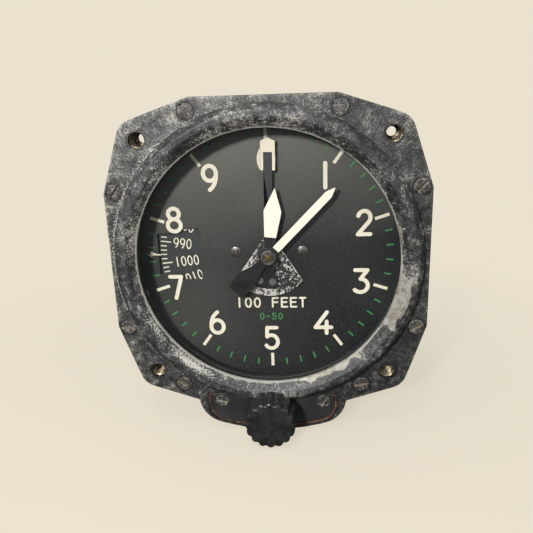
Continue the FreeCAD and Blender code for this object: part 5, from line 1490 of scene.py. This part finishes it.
@dataclass
class PressureScale:
    """Pressure disc behind the dial's window, marked every two millibars.

    The numbers' pen is their signs' height, width, stroke and gap.
    """

    radius: float = 31.5
    bore: float = 12.05
    front: float = 8.3
    back: float = 8.9
    lowest: int = 800
    highest: int = 1050
    reading: float = 995.5
    degrees_each: float = 1.22
    ink: float = 0.04
    long_mark: float = 27.1
    short_mark: float = 28.3
    mark_end: float = 29.9
    mark_width: float = 0.34
    number_start: float = -26.4
    number_pen: tuple[float, ...] = (2.9, 1.45, 0.32, 0.32)
    label_each: int = 10

    def build(self) -> None:
        """Make the disc and its markings, each turned to its place on the scale."""
        disc = plate(circle(self.radius, count=180), [circle(self.bore, count=90)],
                     self.front, self.back, 0.08)
        make_piece("pressure_disc", disc, "pressure_scale", SCALE_BLACK, ("scale_disc",))
        ink = (self.front - self.ink, self.ink)
        pen = Lettering(*self.number_pen, *ink)
        marks = []
        for value in range(self.lowest, self.highest + 1, 2):
            turn = (value - self.reading) * self.degrees_each
            labelled = value % self.label_each == 0
            inner = self.long_mark if labelled else self.short_mark
            marks.append(tick(270 - turn, inner, self.mark_end, self.mark_width, *ink))
            if labelled:
                wide = len(str(value)) * (pen.width + pen.gap) - pen.gap
                marks += pen.word(str(value), self.number_start + wide / 2, 0, turn)
        make_piece("cream_scale_markings", marks, "pressure_scale", SCALE_CREAM)


@dataclass
class Pointers:
    """The three hands, the flag behind them and the ringed cap in front.

    Each hand is its reading in degrees clockwise, its front face's y, and its bore.
    """

    hundreds: Corner = (43.92, 2.9, 0.75)
    thousands: Corner = (6.8, 4.1, 1.35)
    tens: Corner = (1.2, 5.3, 1.95)
    thick: float = 0.4
    hub: float = 2.5
    edge: float = 0.06
    hub_edge: float = 0.08
    hub_proud: float = 0.02
    coat: float = 0.07
    coat_sunk: float = 0.02
    coat_edge: float = 0.05
    dot: float = 1.0
    dot_rise: float = 0.05
    dot_edge: float = 0.04
    dot_places: tuple[Point, ...] = ((-1.75, -7.0), (1.75, -7.0))
    flag_y: float = 5.75
    flag_radius: float = 11.7
    flag_top: float = 6.6
    flag_half: float = 51.5
    flag_edge: float = 0.05
    flag_hole_edge: float = 0.02
    flag_grain: float = 0.5
    cap: tuple[Corner, ...] = (
        (0.75, 2.4, 0.05), (1.2, 2.4, 0.08), (1.25, 2.62, 0), (1.55, 2.62, 0),
        (1.6, 2.4, 0.06), (2.0, 2.45, 0.1), (2.0, 2.9, 0), (0.75, 2.9, 0))
    pin: tuple[Corner, ...] = (
        (0.02, 2.05, 0), (0.7, 2.1, 0.1), (0.745, 2.3, 0.05), (0.745, 2.9, 0), (0.02, 2.9, 0))

    def hand(self, stem: str, body: str, placed: Corner, finish: Finish,
             blade: list[Corner], coat_name: str, coat_finish: Finish,
             coat: list[Corner]) -> None:
        """A flat hand with a round hub, turned to its reading, and its raised coat of paint.

        Args:
            stem: the names of piece and CAD node less their endings.
            body: the body that it moves with.
            placed: its reading, front face and bore.
            finish: the hand's finish.
            blade: right half of its outline, tip up, with a radius at each corner.
            coat_name: the coat's name.
            coat_finish: the coat's finish.
            coat: right half of the coat's outline.
        """
        turn, y, bore = placed
        hole = circle(bore, count=40)
        hub_y = y - self.hub_proud
        skins = [plate(turned_loop(mirrored(blade), turn), [hole], y, y + self.thick,
                       self.edge),
                 plate(circle(self.hub, count=72), [hole], hub_y,
                       y + self.thick - self.hub_proud, self.hub_edge)]
        make_piece(stem + "_pointer", skins, body, finish, (stem + "_hand",))
        paint = plate(turned_loop(mirrored(coat), turn), [], y - self.coat,
                      y + self.coat_sunk, self.coat_edge)
        make_piece(coat_name, paint, body, coat_finish)

    def build(self) -> None:
        """Make each hand with its coat, then the flag, the cap and the staff."""
        self.hand("hundreds", "hundreds", self.hundreds, HAND_BLACK,
                  [(0, 25.6, 0.1), (1.12, 23.0, 0.2), (1.12, 0, 0), (1.5, -4.5, 2),
                   (2.8, -8.2, 2), (2.5, -13.3, 0.4)],
                  "hundreds_cream", HAND_CREAM,
                  [(0, 25.4, 0.1), (1.04, 22.9, 0.2), (1.04, 2.95, 0.1)])
        self.hand("thousands", "thousands", self.thousands, HAND_BLACK,
                  [(0, 18.6, 0.1), (2.42, 12.2, 0.3), (1.65, 5.0, 0.3), (1.35, 2.5, 1),
                   (1.3, -2.0, 1), (3.3, -8.3, 0.8), (2.2, -9.0, 0.8)],
                  "thousands_cream", HAND_CREAM,
                  [(0, 18.4, 0.1), (2.33, 12.2, 0.3), (1.55, 5.2, 0.15)])
        turn, y, _ = self.thousands
        dots = [plate(turned_loop(circle(self.dot, place, 32), turn), [], y - self.dot_rise,
                      y, self.dot_edge) for place in self.dot_places]
        make_piece("thousands_grey_dots", dots, "thousands", DOT_GREY)
        self.hand("tens", "ten_thousands", self.tens, HAND_GREY,
                  [(0, 30.95, 0.1), (1.95, 30.1, 0.2), (1.95, 22.4, 0.1), (1.15, 22.3, 0.1),
                   (1.1, 0, 0)],
                  "tens_cream_fork", FORK_CREAM,
                  [(0, 30.85, 0.1), (1.88, 30.0, 0.2), (1.88, 22.5, 0.25),
                   (1.15, 22.6, 0.2), (1.15, 27.2, 0.2), (0, 27.2, 0)])
        self.flag()
        make_piece("ringed_hub_cap", turned(self.cap, 96), "hundreds", DIAL_SCREW,
                   ("hundreds_cap",), crease=50)
        make_piece("staff_tip", turned(self.pin, 48), "hundreds", STAFF_BRASS)
        dress(("hand_staff", "thousands_pipe", "tens_pipe"), STAFF_BRASS)

    def flag(self) -> None:
        """A fan whose sides meet above the hub, closed by an arc about the centre."""
        turn, _, bore = self.tens
        base = arc((0, 0), self.flag_radius, self.flag_half - 90, -90 - self.flag_half, 40)
        outline = np.concatenate([[(0.0, self.flag_top)], base])
        skin = plate(turned_loop(outline, turn), [circle(bore, count=40)], self.flag_y,
                     self.flag_y + self.thick, self.flag_edge, self.flag_hole_edge,
                     self.flag_grain)
        make_piece("hatched_flag", skin, "ten_thousands", HATCHING, ("low_altitude_flag",))


@dataclass
class CaseShell:
    """Case casting behind the flange: rim, barrel, lobe housing, rear boss and nipple.

    The nipple's section is radius, y behind the case's back, and rounding.
    """

    square: tuple[Corner, ...] = (
        (17.9, 40.6, 1.5), (34.84, 34.84, 4.5), (40.6, 17.9, 1.5), (40.6, -17.9, 1.5),
        (34.84, -34.84, 4.5), (17.9, -40.6, 1.5))
    rim_front: float = 4.5
    rim_back: float = 7.0
    seal_front: float = 4.0
    rim_edge: float = 0.4
    bolt_hole: float = 2.7
    barrel: float = 38.8
    bore: float = 37.0
    back: float = 92.0
    wall: float = 2.5
    house: float = 7.1
    house_top: float = -37.2
    house_back: float = 14.0
    house_edge: float = 0.8
    bush: float = 2.8
    spindle_z: float = -42.6
    plug: tuple[Point, ...] = ((0.02, 13.2), (3.0, 13.2), (3.0, 13.9), (0.02, 13.9))
    port_z: float = -20.0
    port_radius: float = 7.5
    port_bore: float = 4.0
    port_rise: float = 4.0
    nipple: tuple[Corner, ...] = (
        (1.6, -2.5, 0), (4.0, -2.5, 0), (4.0, 4, 0), (6.0, 4, 0.3), (6.0, 7, 0.5),
        (3.2, 7, 0.3), (3.2, 9.2, 0), (2.8, 9.4, 0), (3.2, 11.4, 0), (2.8, 11.6, 0),
        (3.2, 13.6, 0), (2.7, 17, 0.3), (1.6, 17, 0.2))

    def build(self) -> None:
        """Make the shell as overlapping closed skins of one casting, the seal, the nipple."""
        square = rounded(mirrored(list(self.square)))
        front, end = self.rim_front, self.back + self.port_rise
        holes = [circle(self.bore, count=160)]
        holes += [circle(self.bolt_hole, c, 32) for c in square_corners(Flange.pitch)]
        rim = plate(square, holes, front, self.rim_back, self.rim_edge)
        cup = turned([(self.bore, front + 0.2, 0), (self.barrel, front + 0.2, 0),
                      (self.barrel, self.back, 1.8), (0.02, self.back, 0),
                      (0.02, self.back - self.wall, 0), (self.bore, self.back - self.wall, 1.0)],
                     200)
        slot = [*arc((0, self.spindle_z), self.house, 180, 360, 30),
                (self.house, self.house_top), (-self.house, self.house_top)]
        house = plate(slot, [circle(self.bush, (0, self.spindle_z), 40)], front + 0.1,
                      self.house_back, self.house_edge)
        closing = turned(self.plug, 48, (0, self.spindle_z))
        boss = turned([(self.port_bore, self.back - 1, 0), (self.port_radius, self.back - 1, 0),
                       (self.port_radius, end, 0.8), (self.port_bore, end, 0.2)], 72,
                      (0, self.port_z))
        make_piece("case_casting", [rim, cup, house, closing, boss], "case", CASE_PAINT,
                   ("case_body",))
        make_piece("case_gasket", plate(square, holes, self.seal_front, front), "case", RUBBER,
                   ("case_seal",))
        section = [(r, self.back + y, rounding) for r, y, rounding in self.nipple]
        make_piece("barbed_nipple", turned(section, 72, (0, self.port_z)), "case",
                   NIPPLE_BRASS, ("static_nipple",))


@dataclass
class Movement:
    """The parts inside the case, which keep their CAD shapes."""

    metals: tuple[tuple[Finish, tuple[str, ...]], ...] = (
        (PLATE_BRASS, ("front_plate", "centre_plate", "rear_plate", "train_bridge",
                       "capsule_bracket", "scale_keeper")),
        (PILLAR_BRASS, ("front_pillars", "rear_pillars", "bridge_posts", "capsule_boss")),
        (WHEEL_BRASS, ("sector_gear", "train_wheel_one", "train_wheel_two",
                       "thousands_wheel", "tens_wheel", "reduction_wheel_one",
                       "reduction_wheel_two", "scale_gear", "setting_idler")),
        (ARBOR_STEEL, ("rocking_shaft", "rocking_arm", "train_arbor_one", "train_arbor_two",
                       "reduction_arbor_one", "reduction_arbor_two", "capsule_link",
                       "idler_stud")),
        (SCREW_STEEL, ("movement_screws",)),
        (CAPSULE, ("capsule_stack",)))

    def build(self) -> None:
        """Give each group of nodes its metal."""
        for metal, nodes in self.metals:
            dress(nodes, metal)


# ---------------------------------------------------------------- studio

class Ground(Enum):
    """Colours of what stands round the object."""

    PAPER = "#eae2cf"
    WORLD = "#ffffff"
    BENCH = "#4a4842"


@dataclass
class Studio:
    """Camera at the photograph's place, three lamps and a pale floor.

    Lamps are a name, a place in metres, the power in watts and the side of their square.
    """

    lens: float = 40.375
    sensor: float = 36.0
    camera_mm: Corner = (12.3, -146.99, 45.13)
    camera_turn: Corner = (72.459, 1.960, 4.268)
    floor_z: float = -50.2
    floor_size: float = 6.0
    shadow_from: float = 0.06
    shadow_to: float = 0.22
    shadow_paper: float = 0.8
    floor_lift: float = 0.95
    sky_way: Corner = (-0.4, 0.0, 0.92)
    sky_low: float = -0.4
    sky_high: float = 0.9
    sky_dark: float = 0.04
    sky_light: float = 0.8
    lamps: tuple[tuple[str, Corner, float, float], ...] = (
        ("key_lamp", (-0.11, -0.37, 0.16), 1.6, 0.045),
        ("top_lamp", (-0.1, -0.45, 0.85), 1.8, 0.12),
        ("fill_lamp", (0.5, -0.7, 0.1), 0.5, 0.5))

    def placed(self, name: str, data: bpy.types.ID) -> bpy.types.Object:
        """A new object in the scene that shows a camera, a lamp or a mesh."""
        thing = bpy.data.objects.new(name, data)
        bpy.context.scene.collection.objects.link(thing)
        return thing

    def world(self) -> None:
        """Soft light from above and the left; only the camera sees the paper colour."""
        world = bpy.data.worlds.new("studio_air")
        bpy.context.scene.world = world
        world.use_nodes = True
        tree = world.node_tree
        tree.nodes.clear()
        rays = add_node(tree, "LightPath")
        way = add_node(tree, "TexCoord").outputs["Generated"]
        height = add_node(tree, "VectorMath", {0: way, 1: self.sky_way},
                          operation="DOT_PRODUCT")
        strength = add_node(tree, "MapRange", {
            "Value": height.outputs["Value"], "From Min": self.sky_low,
            "From Max": self.sky_high, "To Min": self.sky_dark, "To Max": self.sky_light})
        light = add_node(tree, "Background", {"Color": Ground.WORLD.value,
                                              "Strength": strength})
        paper = add_node(tree, "Background", {"Color": Ground.PAPER.value, "Strength": 1.0})
        seen = add_node(tree, "MixShader", {0: rays.outputs["Is Camera Ray"], 1: light,
                                            2: paper})
        add_node(tree, "OutputWorld", {"Surface": seen})

    def floor(self) -> None:
        """A wide floor that takes the shadow near the object and fades to the paper colour.

        Bounced light sees a dim bench in its place, so that undersides stay dark.
        """
        half = self.floor_size / 2 / MM
        corners = np.array([(-half, -half), (half, -half), (half, half), (-half, half)])
        points = np.insert(corners, 2, self.floor_z, axis=1) * MM
        mesh = bpy.data.meshes.new("studio_floor")
        mesh.from_pydata(points.tolist(), [], [(0, 1, 2, 3)])
        ground = self.placed("studio_floor", mesh)
        made = bpy.data.materials.new("studio_paper")
        made.use_nodes = True
        tree = made.node_tree
        tree.nodes.clear()
        rays = add_node(tree, "LightPath")
        coords = add_node(tree, "TexCoord").outputs["Object"]
        away = add_node(tree, "VectorMath", {0: coords}, operation="LENGTH")
        fade = add_node(tree, "MapRange", {
            "Value": away.outputs["Value"], "From Min": self.shadow_from,
            "From Max": self.shadow_to, "To Min": self.shadow_paper},
            interpolation_type="SMOOTHSTEP")
        lift = add_node(tree, "MapRange", {
            "Value": fade, "From Min": self.shadow_paper, "To Min": self.floor_lift,
            "To Max": 1.0})
        matt = add_node(tree, "BsdfDiffuse", {"Color": Ground.PAPER.value})
        glow = add_node(tree, "Emission", {"Color": Ground.PAPER.value, "Strength": lift})
        paper = add_node(tree, "MixShader", {0: fade, 1: matt, 2: glow})
        dim = add_node(tree, "BsdfDiffuse", {"Color": Ground.BENCH.value})
        mixed = add_node(tree, "MixShader", {0: rays.outputs["Is Camera Ray"], 1: dim,
                                             2: paper})
        add_node(tree, "OutputMaterial", {"Surface": mixed})
        mesh.materials.append(made)

    def build(self) -> None:
        """Place the camera, the world, the floor and the lamps, which look at the dial."""
        data = bpy.data.cameras.new("photo_camera")
        data.lens = self.lens
        data.sensor_width = self.sensor
        data.clip_start = 0.005
        camera = self.placed("photo_camera", data)
        camera.location = Vector(self.camera_mm) * MM
        camera.rotation_euler = Euler([math.radians(v) for v in self.camera_turn])
        bpy.context.scene.camera = camera
        bpy.context.scene.view_settings.view_transform = "Standard"
        self.world()
        self.floor()
        for name, place, watts, size in self.lamps:
            data = bpy.data.lights.new(name, "AREA")
            data.energy = watts
            data.size = size
            lamp = self.placed(name, data)
            lamp.location = place
            lamp.rotation_euler = (-Vector(place)).to_track_quat("-Z", "Y").to_euler()


def main() -> None:
    """Build the studio and every sub-assembly."""
    logging.basicConfig(level=logging.INFO, format="%(name)s: %(message)s")
    Studio().build()
    for part in (Flange(), Bezel(), LobeCover(), SettingKnob(), Dial(), PressureScale(),
                 Pointers(), CaseShell(), Movement()):
        log.info("building %s", type(part).__name__)
        part.build()


if __name__ == "__main__":
    main()
